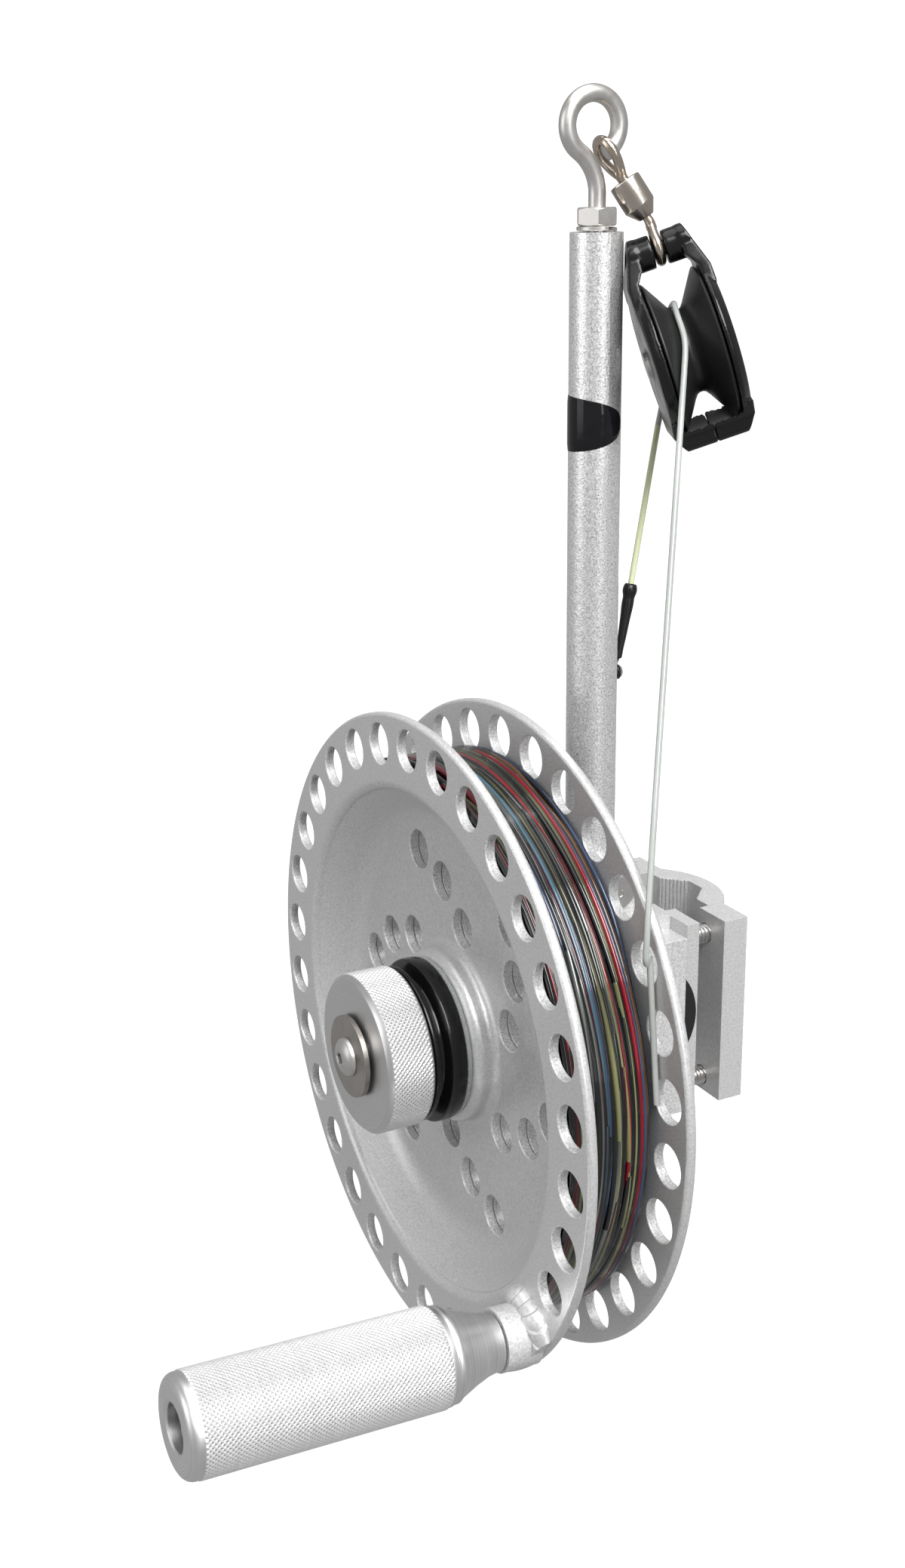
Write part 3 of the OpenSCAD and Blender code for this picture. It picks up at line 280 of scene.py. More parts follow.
def steel(name, base, warm, rough, mark=0.12, cloudy=1.0):
    """Stainless or plated metal with faint scratches and finger-dulled patches."""
    m = Mat(name)
    cloud = m.noise(260, 4.0, 0.65)
    lines = m.noise(1800, 2.0, 0.5, stretch=(1.0, 0.25, 3.0), distort=0.6)
    low = grey(base * (1 - 0.18 * cloudy), warm * 1.6)
    high = grey(min(1, base * (1 + 0.12 * cloudy)), warm * 0.6)
    m.colour(m.ramp(cloud, (0.3, low), (0.55, grey(base, warm)), (0.8, high)))
    m.rough(m.spread(cloud, rough - 0.07 * cloudy, rough + 0.12 * cloudy))
    m.bump((lines, mark, 0.00003), (cloud, mark * 0.7 * cloudy, 0.00008))
    m.put(Metallic=1.0)
    return m.m


def plastic(name, base, rough, scuff=0.5):
    """Moulded black plastic: faint flow marks, fine scuffs and a little dust."""
    m = Mat(name)
    cloud = m.noise(120, 4.0, 0.6)
    fine = m.noise(2600, 2.0, 0.6)
    scuffs = m.noise(700, 3.0, 0.7, stretch=(1.0, 4.0, 0.5), distort=1.2)
    c = (base, base, base * 1.04)
    pale = (base + 0.012 * scuff,) * 3
    m.colour(m.ramp(scuffs, (0.35, c), (0.62, c), (0.82, pale)))
    m.rough(m.spread(cloud, rough - 0.06, rough + 0.12))
    m.bump((fine, 0.08, 0.00003), (scuffs, 0.10 * scuff, 0.00006))
    m.put(Specular_IOR_Level=0.30)
    return m.m


def nylon(name, colour, clear, rough=0.09, spec=0.5, patches=0.0, seed=0.0):
    """Drawn monofilament: coloured, glossy and partly clear; patches says how far it darkens in stretches."""
    m = Mat(name)
    drift = m.noise(17, 2.0, 0.5, seed=seed)
    fine = m.noise(900, 2.0, 0.5)
    dark = tuple(c * (1 - patches) for c in colour)
    middle = tuple(c * (1 - 0.4 * patches) for c in colour)
    pale = tuple(min(1, c * 1.2 + 0.002) for c in colour)
    m.colour(m.ramp(drift, (0.38, dark), (0.5, middle), (0.64, pale)))
    m.rough(m.spread(fine, rough - 0.03, rough + 0.04))
    m.bump((fine, 0.02, 0.00002))
    m.put(Transmission_Weight=clear, IOR=1.52, Specular_IOR_Level=spec)
    return m.m


COAT = {
    "dish": coat("blasted_dish", 0.58, 1500, 0.50, 0.38, metal=0.58, speck=0.10, cloudy=0.08),
    "hole": coat("blasted_hole_wall", 0.60, 1900, 0.60, 0.42, metal=0.40, speck=0.24, cloudy=0.10),
    "mast": coat("blasted_mast", 0.78, 1900, 0.70, 0.33, metal=0.85, speck=0.24, cloudy=0.06),
    "block": coat("blasted_block", 0.60, 1300, 0.6, 0.40, metal=0.50, speck=0.16, cloudy=0.12),
    "jaw": coat("blasted_jaw", 0.56, 1800, 0.36, 0.38, metal=0.50, speck=0.12, cloudy=0.10),
    "stub": coat("blasted_stub", 0.60, 1300, 0.45, 0.38, metal=0.45, speck=0.14, cloudy=0.10),
}
AXLE_POINT = (0, SPOOL_Y * MM, 0)
HANDLE_POINT = tuple(HANDLE.translation * MM)
HANDLE_WAY = tuple(HANDLE.to_3x3() @ Vector((0, 0, 1)))
KNOB_METAL = turned("turned_knob", 0.62, AXLE_POINT, (0, -1, 0), rough=0.36)
KNURL_METAL = turned("knurled_knob_metal", 0.70, AXLE_POINT, (0, -1, 0), rough=0.34, knurled=True)
GRIP_METAL = turned("turned_grip", 0.70, HANDLE_POINT, HANDLE_WAY, rough=0.38)
GRIP_KNURL = turned("knurled_grip_metal", 0.76, HANDLE_POINT, HANDLE_WAY, rough=0.34, knurled=True)
CONE_METAL = turned("turned_cone_metal", 0.70, HANDLE_POINT, HANDLE_WAY, rough=0.38, freq=1800)
STAINLESS = steel("stainless", 0.56, 0.02, 0.30, cloudy=0.5)
SATIN = steel("stainless_satin", 0.52, 0.02, 0.42, cloudy=0.3)
FENDER = steel("stainless_dull", 0.34, 0.06, 0.34, mark=0.2)
EYE_STEEL = steel("eye_stainless", 0.60, 0.025, 0.36, mark=0.08, cloudy=0.5)
ZINC = steel("zinc_dark", 0.05, 0.02, 0.30, mark=0.2)
PLATED = steel("plated_nickel", 0.43, 0.10, 0.24, mark=0.03, cloudy=0.2)
PLATED_WIRE = steel("plated_wire", 0.42, 0.13, 0.22, mark=0.04, cloudy=0.3)
BRONZE = steel("sintered_bronze", 0.36, 0.32, 0.42, mark=0.3)
BLACK = plastic("moulded_black", 0.005, 0.15, scuff=0.3)
BLACK_DISC = plastic("turned_black", 0.006, 0.16, scuff=0.5)
BLACK_WHEEL = plastic("wheel_black", 0.012, 0.34, scuff=1.2)
RUBBER = plastic("soft_black", 0.008, 0.55, scuff=0.3)
SHRINK = plastic("shrink_black", 0.007, 0.26, scuff=0.4)


def vinyl():
    """Smooth black label film."""
    m = Mat("label_vinyl")
    cloud = m.noise(90, 3.0, 0.6)
    m.colour(m.ramp(cloud, (0.35, (0.004, 0.004, 0.005)), (0.7, (0.008, 0.008, 0.010))))
    m.rough(m.spread(m.noise(420, 3.0, 0.6), 0.05, 0.12))
    m.bump((m.noise(700, 2.0, 0.5), 0.03, 0.00005))
    m.put(Specular_IOR_Level=0.25)
    return m.m


def clear_washer():
    """Clear plastic, hazed where it rubs."""
    m = Mat("clear_washer")
    cloud = m.noise(300, 3.0, 0.6)
    m.colour(m.ramp(cloud, (0.3, (0.78, 0.81, 0.82)), (0.7, (0.88, 0.90, 0.91))))
    m.rough(m.spread(m.noise(900, 3.0, 0.7), 0.10, 0.30))
    m.bump((cloud, 0.1, 0.0001))
    m.put(Transmission_Weight=0.7, IOR=1.49)
    return m.m


VINYL = vinyl()
CLEAR = clear_washer()
LINE_PALE = nylon("line_pale", (0.34, 0.355, 0.34), 0.12, 0.16, 0.4)
LINE_GREEN = nylon("line_green", (0.50, 0.52, 0.34), 0.10, 0.18, 0.4)
WOUND = {
    "red": nylon("wound_red", (0.17, 0.002, 0.009), 0.0, 0.08, 0.5, 0.82, 1.0),
    "wine": nylon("wound_wine", (0.055, 0.002, 0.006), 0.0, 0.08, 0.5, 0.85, 2.0),
    "black": nylon("wound_black", (0.0035, 0.004, 0.004), 0.0, 0.08, 0.5, 0.2, 3.0),
    "olive": nylon("wound_olive", (0.115, 0.115, 0.050), 0.0, 0.08, 0.5, 0.86, 4.0),
    "brown": nylon("wound_brown", (0.075, 0.034, 0.009), 0.0, 0.08, 0.5, 0.85, 5.0),
    "blue": nylon("wound_blue", (0.035, 0.090, 0.125), 0.0, 0.08, 0.5, 0.84, 6.0),
    # Painted reflection and shade: violet stands for the rear dish's tint seen through the clear line at the
    # rear edge; it also colours hidden under strands.
    "violet": nylon("wound_violet", (0.022, 0.036, 0.070), 0.0, 0.08, 0.5, 0.7, 7.0),
    "smoke": nylon("wound_smoke", (0.085, 0.095, 0.085), 0.0, 0.11, 0.9, 0.9, 8.0),
}


# Mesh helpers. Shapes are given in millimetres in a local frame.
def add_mesh(name, verts, faces, mats, body, replaces=(), angle=32, face_mats=None):
    me = bpy.data.meshes.new(name)
    me.from_pydata([tuple(v) for v in verts], [], faces)
    me.validate()
    me.update()
    for m in mats:
        me.materials.append(m)
    if face_mats is not None and len(face_mats) == len(me.polygons):
        me.polygons.foreach_set("material_index", face_mats)
    me.shade_smooth()
    me.set_sharp_from_angle(angle=math.radians(angle))
    o = bpy.data.objects.new(name, me)
    bpy.context.scene.collection.objects.link(o)
    if body:
        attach(o, body)
    if replaces:
        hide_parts(*replaces)
    return o


def placed(frame_matrix, points):
    p = np.asarray(points, float)
    m = np.array(frame_matrix)
    return (p @ m[:3, :3].T + m[:3, 3]) * MM


def ring_faces(rows, n, loop=False, first=0):
    faces = []
    for j in range(rows if loop else rows - 1):
        a, b = first + j * n, first + ((j + 1) % rows) * n
        for i in range(n):
            k = (i + 1) % n
            faces.append((a + i, a + k, b + k, b + i))
    return faces


def polar(rows, n, loop=False, caps=(True, True)):
    """Rows of (radius or function of the angle, height), turned about local Z. Returns points and faces."""
    ang = np.arange(n) * 2 * math.pi / n
    pts = []
    for r, z in rows:
        rr = np.array([r(a) for a in ang]) if callable(r) else np.full(n, float(r))
        pts.append(np.stack([rr * np.cos(ang), rr * np.sin(ang), np.full(n, float(z))], 1))
    faces = ring_faces(len(rows), n, loop)
    if not loop:
        if caps[0]:
            faces.append(tuple(range(n - 1, -1, -1)))
        if caps[1]:
            last = (len(rows) - 1) * n
            faces.append(tuple(range(last, last + n)))
    return np.concatenate(pts), faces


def joined(*shapes):
    pts, faces, at = [], [], 0
    for p, f in shapes:
        pts.append(np.asarray(p, float))
        faces += [tuple(i + at for i in face) for face in f]
        at += len(p)
    return np.concatenate(pts), faces


def moved(matrix, shape):
    p, f = shape
    m = np.array(matrix)
    return np.asarray(p, float) @ m[:3, :3].T + m[:3, 3], f


def tube(path, radius, sides=12, loop=False, caps=True):
    """A round tube on points; radius is one number or one for each point."""
    p = np.asarray(path, float)
    n = len(p)
    rad = np.full(n, float(radius)) if np.isscalar(radius) else np.asarray(radius, float)
    if loop:
        tan = np.roll(p, -1, 0) - np.roll(p, 1, 0)
    else:
        tan = np.gradient(p, axis=0)
    tan /= np.linalg.norm(tan, axis=1)[:, None]
    up = np.array([0.0, 0.0, 1.0]) if abs(tan[0][2]) < 0.9 else np.array([1.0, 0.0, 0.0])
    side = np.cross(up, tan[0])
    side /= np.linalg.norm(side)
    ang = np.arange(sides) * 2 * math.pi / sides
    pts = []
    for k in range(n):
        side = side - tan[k] * (side @ tan[k])
        side /= np.linalg.norm(side)
        over = np.cross(tan[k], side)
        pts.append(p[k] + rad[k] * (np.cos(ang)[:, None] * side + np.sin(ang)[:, None] * over))
    faces = ring_faces(n, sides, loop)
    if not loop and caps:
        faces.append(tuple(range(sides - 1, -1, -1)))
        faces.append(tuple(range((n - 1) * sides, n * sides)))
    return np.concatenate(pts), faces


def smooth_path(points, step):
    """A Catmull-Rom curve through points, about one sample each step."""
    p = np.asarray(points, float)
    q = np.vstack([2 * p[0] - p[1], p, 2 * p[-1] - p[-2]])
    out = []
    for k in range(1, len(q) - 2):
        a, b, c, d = q[k - 1], q[k], q[k + 1], q[k + 2]
        n = max(2, int(round(np.linalg.norm(c - b) / step)))
        for i in range(n):
            t = i / n
            bend, twist = 2 * a - 5 * b + 4 * c - d, 3 * b - a - 3 * c + d
            out.append(0.5 * (2 * b + (c - a) * t + bend * t * t + twist * t ** 3))
    out.append(p[-1])
    return np.array(out)


def arc(cx, cy, r, a0, a1, n):
    angles = [math.radians(a0 + (a1 - a0) * i / n) for i in range(n + 1)]
    return [(cx + r * math.cos(a), cy + r * math.sin(a)) for a in angles]


def knurl(radius, z0, z1, around, rows, depth):
    """Rows of a diamond knurl on a cylinder: every second point of every second row is a peak."""
    out = []
    n = 2 * around
    for j in range(rows + 1):
        z = z0 + (z1 - z0) * j / rows
        out.append((np.array([radius if (i + j) % 2 else radius - depth for i in range(n)]), z, j))
    return out


def knurled_turning(before, band, after, n):
    """A turned shape whose middle band is knurled, with its loop closed through the bore."""
    ang = np.arange(n) * 2 * math.pi / n

    def plain(profile):
        return [(np.full(n, r), z, None) for r, z in profile]
    rows = plain(before) + band + plain(after)
    pts = np.concatenate([np.stack([r * np.cos(ang), r * np.sin(ang), np.full(n, z)], 1) for r, z, _ in rows])
    faces = []
    count = len(rows)
    for j in range(count):
        a, b = j * n, ((j + 1) % count) * n
        knurled = rows[j][2] is not None and rows[(j + 1) % count][2] is not None
        for i in range(n):
            k = (i + 1) % n
            quad = (a + i, a + k, b + k, b + i)
            if not knurled:
                faces.append(quad)
            elif (i + rows[j][2]) % 2:
                faces += [(quad[0], quad[1], quad[2]), (quad[0], quad[2], quad[3])]
            else:
                faces += [(quad[0], quad[1], quad[3]), (quad[1], quad[2], quad[3])]
    return pts, faces


def hex_radius(af):
    """The radius of a hexagon af across its flats, for each angle."""
    def at(a):
        b = (math.degrees(a) % 60) - 30
        return af / 2 / math.cos(math.radians(b))
    return at


def hex_nut(af, h, bore, n=72):
    """A hexagon with chamfered corners and a bore."""
    slope, lead, steps = 0.577, 0.35, 5
    start = 0.965 * af / 2
    c = (af / math.sqrt(3) - start) * slope

    def cut(z):
        return lambda a: min(hex_radius(af)(a), start + z / slope)
    rises = [c * k / steps for k in range(1, steps + 1)]
    rows = [(bore + lead, 0), (start, 0)] + [(cut(z), z) for z in rises]
    rows += [(cut(z), h - z) for z in rises[::-1]]
    rows += [(start, h), (bore + lead, h), (bore, h - lead), (bore, lead)]
    return polar(rows, n, loop=True)


def threaded(radius, depth, pitch, z0, z1, n=28):
    """A rod with a rounded thread from z0 to z1."""
    steps = max(2, int((z1 - z0) / pitch * 8))
    ang = np.arange(n) * 2 * math.pi / n
    pts = []
    for j in range(steps + 1):
        z = z0 + (z1 - z0) * j / steps
        f = (z / pitch - ang / (2 * math.pi)) % 1.0
        r = radius - depth * np.clip(np.abs(2 * f - 1) * 1.25 - 0.1, 0, 1)
        pts.append(np.stack([r * np.cos(ang), r * np.sin(ang), np.full(n, z)], 1))
    faces = ring_faces(steps + 1, n)
    faces.append(tuple(range(n - 1, -1, -1)))
    faces.append(tuple(range(steps * n, (steps + 1) * n)))
    return np.concatenate(pts), faces


def mark_peaks(o, centre, axis, radius, depth, first, last):
    """Gives each vertex how high it stands in the knurl, which the material uses to paint shade into the
    valleys.
    """
    def cylindrical(items, field):
        """How far along the axis, and out from it, each item lies."""
        p = np.empty(len(items) * 3)
        items.foreach_get(field, p)
        p = p.reshape(-1, 3) - np.array(centre)
        at = p @ np.array(axis)
        return at, np.linalg.norm(p - at[:, None] * np.array(axis), axis=1)
    along, r = cylindrical(o.data.vertices, "co")
    peak = np.clip((r - (radius - depth) * MM) / (depth * MM), 0, 1)
    peak[(along < first * MM) | (along > last * MM)] = 1.0
    o.data.attributes.new("peak", "FLOAT", "POINT").data.foreach_set("value", peak.astype(np.float32))
    along, r = cylindrical(o.data.polygons, "center")
    band = (along > (first - 0.3) * MM) & (along < (last + 0.3) * MM) & (r > (radius - depth * 1.6) * MM)
    o.data.polygons.foreach_set("material_index", band.astype(np.int32))


def add_shape(name, frame_matrix, shape, mat, body, replaces=(), angle=32):
    pts, faces = shape
    return add_mesh(name, placed(frame_matrix, pts), faces, [mat], body, replaces, angle)


# The free line, along the same points as in part.scad.
UP = [(90.5, -59.2, 11), (88, -59.2, 31.5), (85.3, -59.2, 54), (83.6, -58.9, 66)]
OVER = [
    (-8.6, -24.2, -11.3), (-5.6, -21.2, -4.5), (-3.3, -18.3, 0.6), (-1.5, -15.2, 4.6),
    (-1.1, -12.6, 8), (-1, -8.5, 12), (-0.5, -3.8, 14.2), (0, 1.8, 14.6),
    (-0.6, 7.5, 13), (-2, 12.7, 10.7), (-3.5, 17.4, 7),
    (-5.2, 21.1, 2.2), (-6.8, 23.4, -3.3), (-8.2, 23.1, -8.4), (-9.2, 21.3, -12.6), (-14, 19.3, -21),
]
LINE_D = 1.85
LINE_END_Z = 117.5


def on_side(out, z):
    """A point that far out from the mast's side, towards the keeper's screw."""
    a = math.radians(KEEPER_TURN)
    return Vector(((MAST_R + out) * math.cos(a), MAST_Y + (MAST_R + out) * math.sin(a), z))


over_mm = [BLOCK @ Vector(p) for p in OVER]
line_end = on_side(2.3, LINE_END_Z)


def down_line(z):
    """The point of the line going down at that height."""
    start = over_mm[-1]
    return start.lerp(line_end, (start.z - z) / (start.z - LINE_END_Z))


def metres(v):
    return tuple(float(c) * MM for c in v)


def free_line(name, points, mat, node, body=None, blend=None):
    pts, faces = tube(points, LINE_D / 2, 12)
    o = add_mesh(name, pts * MM, faces, [mat], body, (node,), 60)
    if blend:
        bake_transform(o)


up_path = smooth_path([Vector(p) for p in UP] + [over_mm[0]], 3.0)
over_path = smooth_path(over_mm, 1.0)
for _ in range(12):
    over_path[1:-1] = 0.5 * over_path[1:-1] + 0.25 * (over_path[:-2] + over_path[2:])
down_path = smooth_path([over_mm[-1], over_mm[-1].lerp(line_end, 0.5), line_end], 3.0)
free_line("free_line_up", up_path, LINE_PALE, "line_up",
          blend=("mount", "swivel_eye", metres(up_path[0]), metres(up_path[-1])))
free_line("free_line_over", over_path, LINE_PALE, "line_over", body="block")
free_line("free_line_down", down_path, LINE_GREEN, "line_down",
          blend=("mount", "swivel_eye", metres(down_line(139.5)), metres(down_path[0])))


# The wound line: strands laid one on another, each resting on what lies under it.
WINDING_W = 28.8
WINDING_FLOOR, WINDING_TOP = 82.7, 89.05


def wind():
    n, cells, width = 200, 289, WINDING_W
    th = np.arange(n) * 2 * math.pi / n
    zs = np.linspace(-width / 2, width / 2, cells)
    d = LINE_D * 0.97
    floor = np.full((n, cells), WINDING_FLOOR)
    rng = np.random.default_rng(7)
    colours = list(WOUND)
    shapes, marks = [], []
    limit = width / 2 - d / 2 - 0.15

    def lay(z_path, colour):
        z = np.clip(z_path, -limit, limit)
        near = np.abs(zs[None, :] - z[:, None]) < d * 0.12 + 0.1
        r = np.where(near, floor, 0).max(1)
        wide = np.max([np.roll(r, s) for s in range(-3, 4)], 0)
        spans = range(-8, 9)
        kernel = np.array([np.exp(-0.5 * (s / 3.2) ** 2) for s in spans])
        smooth = sum(np.roll(wide, s) * w for s, w in zip(spans, kernel / kernel.sum()))
        r2 = np.minimum(smooth, WINDING_TOP)
        gap = np.abs(zs[None, :] - z[:, None])
        lift = np.where(gap < d, r2[:, None] + np.sqrt(np.maximum(d * d - gap * gap, 0)) * 0.86, 0)
        np.maximum(floor, lift, out=floor)
        path = np.stack([r2 * np.cos(th), r2 * np.sin(th), z], 1)
        shapes.append(tube(path, LINE_D / 2, 10, loop=True))
        marks.extend([colours.index(colour)] * (n * 10))

    def wave(big, small):
        a, b, c = rng.uniform(0, 2 * math.pi, 3)
        return big * np.sin(th + a) + small * np.sin(2 * th + b) + small * 0.5 * np.sin(3 * th + c)

    under = [
        "black", "wine", "black", "smoke", "black", "red", "black",
        "olive", "black", "wine", "violet", "black", "red", "black",
    ]
    step = 2 * limit / 14
    for k in range(15):
        lay(np.full(n, -limit + step * k) + wave(0.15, 0.1), under[k % 14])
    for k in range(14):
        lay(np.full(n, -limit + step * (k + 0.5)) + wave(0.35, 0.2), under[(k * 5 + 3) % 14])
    # The outer layer, front to rear, as its colours lie in the photograph: place, colour and sway.
    outer = [
        (13.1, "black", 0.3), (11.6, "black", 0.7), (9.9, "wine", 1.0), (8.3, "black", 1.3),
        (6.7, "olive", 0.9), (5.0, "black", 1.0), (3.5, "smoke", 0.8), (1.9, "blue", 0.9),
        (0.2, "black", 1.2), (-1.5, "olive", 1.0), (-3.2, "black", 0.9), (-4.9, "red", 1.1),
        (-6.4, "black", 0.9), (-8.0, "olive", 0.7), (-9.6, "red", 0.8), (-11.3, "brown", 0.5),
        # Painted reflection and shade: this violet strand at the rear edge carries the rear dish's tint, not
        # a line colour.
        (-13.1, "violet", 0.25),
    ]
    for z0, colour, sway in outer:
        lay(np.full(n, z0) + wave(sway, sway * 0.35), colour)
    # Looser strands that cross the rest.
    crossing = [
        (9.2, "black", 2.4), (2.8, "black", 3.2), (-4.2, "black", 2.6), (6.0, "smoke", 3.4),
        (-9.0, "black", 2.4), (-1.2, "black", 3.4), (10.6, "wine", 1.8), (-6.4, "olive", 2.2),
        (4.0, "black", 2.6), (-2.6, "wine", 2.4), (7.4, "black", 3.0), (0.8, "smoke", 3.2),
        # Painted reflection and shade: this violet crossing strand near the rear edge carries the same tint
        # of the rear dish.
        (-11.0, "violet", 1.5),
    ]
    for z0, colour, sway in crossing:
        lay(np.full(n, z0) + wave(sway, sway * 0.4), colour)
    pts, faces = joined(*shapes)
    add_mesh("wound_line", placed(SPOOL, pts), faces, [WOUND[c] for c in colours], "spool",
             ("line_winding",), 80, marks)
    half = [(74, -1.6), (80.6, -9.4), (83.0, -12.3), (83.1, -13.4), (83.5, -13.0)]
    core = half + [(83.6, 0)] + [(r, -z) for r, z in half[::-1]]
    add_shape("wound_core", SPOOL, polar(core, 128, loop=True), WOUND["black"], "spool",
              ("line_core",), 50)


wind()


# The two pressed dishes, with a soft wall and the rounded rims of their holes.
def baked(o):
    """The object's mesh with its modifiers applied."""
    bpy.context.view_layer.update()
    me = bpy.data.meshes.new_from_object(o.evaluated_get(bpy.context.evaluated_depsgraph_get()))
    o.modifiers.clear()
    o.data = me
    return me


def hole_cutter(r, low, high):
    """A cutter whose two ends open out, so that it leaves a rounded rim."""
    lip, up, past = 0.62, 0.05, 0.8
    rows = [(r + lip, low - past)] + arc(r + lip, low + lip - up, lip, 270, 180, 5)
    rows += arc(r + lip, high - lip + up, lip, 180, 90, 5) + [(r + lip, high + past)]
    return polar(rows, 40)


# Each sixth of a dish has three floor holes, on three circles and at three turns.
FLOOR_CIRCLES_R = (59.4, 49.1, 37.2)
FLOOR_TURNS = (5.5, 19.9, 37.4)
FLOOR_HOLE_R, FLOOR_BACK, FLOOR_FRONT = 6.4, 0.05, 3.4
RIM_TURN, RIM_HOLE_R = 4.1, 6.5
EDGE_R = 1.2
# The rim hole that the handle's foot takes the place of.
HANDLE_HOLE = 27
HANDLE_HOLE_TURN = RIM_STEP * HANDLE_HOLE - RIM_TURN


def pressed_dish(name, frame_matrix, rim_turns, floor_turns, node):
    """A dish from its bore out: hub and its bead, floor, wall, shoulder, flange, and the inside back."""
    edge = 103.575
    profile = [(8, FLOOR_BACK), (8, 10.9), (8.3, 11.2)]
    profile += arc(24.4, 7.5, 3.7, 90, 5, 12) + arc(31.2, 6.5, 3.1, 180, 270, 10)
    profile += arc(64.72, 15.4, 12.0, 270, 320, 20) + arc(78.93, 16.07, 1.5, 320, 340, 4)[1:]
    profile += arc(83.4, FLANGE_IN, 3.2, 160, 90, 12)
    profile += arc(edge, FLANGE_OUT - EDGE_R, EDGE_R, 90, 0, 5)
    profile += arc(edge, FLANGE_IN + EDGE_R, EDGE_R, 0, -90, 5)
    profile += [(85, FLANGE_IN)] + arc(83.3, 13.5, 0.9, 90, 145, 5) + arc(64.72, 14.9, 14.85, 322, 270, 18)
    pts, faces = polar(profile, 240, loop=True)
    o = add_mesh(name, placed(frame_matrix, pts), [f[::-1] for f in faces], [COAT["dish"]], "spool",
                 (node,), 32)
    rim_cut = hole_cutter(RIM_HOLE_R, FLANGE_IN, FLANGE_OUT)
    floor_cut = hole_cutter(FLOOR_HOLE_R, FLOOR_BACK, FLOOR_FRONT)
    cuts = [moved(turn(t, "Z") @ shift(RIM_CIRCLE_R, 0, 0), rim_cut) for t in rim_turns]
    for k in range(6):
        for r, t in zip(FLOOR_CIRCLES_R, floor_turns):
            cuts.append(moved(turn(t + 60 * k, "Z") @ shift(r, 0, 0), floor_cut))
    pts, faces = joined(*cuts)
    me = bpy.data.meshes.new("cutter")
    me.from_pydata([tuple(v) for v in placed(frame_matrix, pts)], [], faces)
    me.update()
    me.materials.append(COAT["hole"])
    cutter = bpy.data.objects.new("cutter", me)
    bpy.context.scene.collection.objects.link(cutter)
    cut = o.modifiers.new("holes", "BOOLEAN")
    cut.operation = "DIFFERENCE"
    cut.solver = "EXACT"
    cut.material_mode = "TRANSFER"
    cut.object = cutter
    me = baked(o)
    bpy.data.objects.remove(cutter)
    me.shade_smooth()
    me.set_sharp_from_angle(angle=math.radians(40))
    even = o.modifiers.new("even", "WEIGHTED_NORMAL")
    even.weight = 100
    even.keep_sharp = True


front_rim = [-RIM_TURN + RIM_STEP * k for k in range(30) if k != HANDLE_HOLE]
rear_rim = [RIM_TURN - RIM_STEP * k for k in range(30)]
pressed_dish("pressed_front_dish", SPOOL, front_rim, [-t for t in FLOOR_TURNS], "front_dish")
pressed_dish("pressed_rear_dish", SPOOL @ turn(180, "X"), rear_rim, FLOOR_TURNS, "rear_dish")


# The pulley's cheeks, moulded with soft edges, and its wheel.
def moulded(name, node, voxel=0.40, rounds=5):
    """A copy of the node's solid with its edges melted, as a mould leaves them."""
    me = NODES[node].data.copy()
    o = bpy.data.objects.new(name, me)
    bpy.context.scene.collection.objects.link(o)
    fine = o.modifiers.new("fine", "REMESH")
    fine.mode = "VOXEL"
    fine.voxel_size = voxel * MM
    soft = o.modifiers.new("soft", "SMOOTH")
    soft.factor = 0.5
    soft.iterations = rounds
    me = baked(o)
    me.materials.clear()
    me.materials.append(BLACK)
    me.shade_smooth()
    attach(o, "block")
    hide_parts(node)


moulded("moulded_left_cheek", "left_cheek")
moulded("moulded_right_cheek", "right_cheek")

# Half of the wheel's outline, from its bore over the rim to the bottom of its groove.
wheel = [(3.55, -8.3), (3.85, -8.6), (10, -8.6), (10.6, -8.25), (19.2, -8.25), (19.8, -8.6)]
wheel += [(22.3, -8.6), (22.75, -8.45), (22.95, -8.15), (22.85, -7.8), (22.4, -7.45)]
wheel += [(22.4 - 9.3 * k / 8, -7.45 + 5.75 * k / 8) for k in range(1, 8)]
wheel += [(12.9, -1.35), (12.55, -0.6), (12.5, 0)]
wheel += [(r, -z) for r, z in wheel[-2::-1]]
add_shape("turned_wheel", BLOCK @ turn(90, "Y"), polar(wheel, 160, loop=True), BLACK_WHEEL, "wheel",
          ("sheave",), 30)


# Turned and knurled parts: knob, grip, cone and brake disc.
KNOB_R, KNOB_KNURL, KNOB_FROM, KNOB_T = 25.4, 0.45, 23.25, 15.6
AXLE_BORE = 6.45
knob_in = [(AXLE_BORE, 0), (23.9, 0), (24.9, 0.35), (25.15, 0.8)]
knob_out = [(25.2, 14.15), (25.1, 14.3), (24.1, 15.35), (23.7, KNOB_T), (6.9, KNOB_T), (AXLE_BORE, 15.3)]
pts, faces = knurled_turning(knob_in, knurl(KNOB_R, 1.0, 14.0, 96, 16, KNOB_KNURL), knob_out, 192)
knob = add_mesh("knurled_knob", placed(SPOOL @ shift(0, 0, KNOB_FROM), pts), faces,
                [KNOB_METAL, KNURL_METAL], "knob", ("drag_knob",), 24)
mark_peaks(knob, AXLE_POINT, (0, -1, 0), KNOB_R, KNOB_KNURL, KNOB_FROM + 0.95, KNOB_FROM + 14.05)

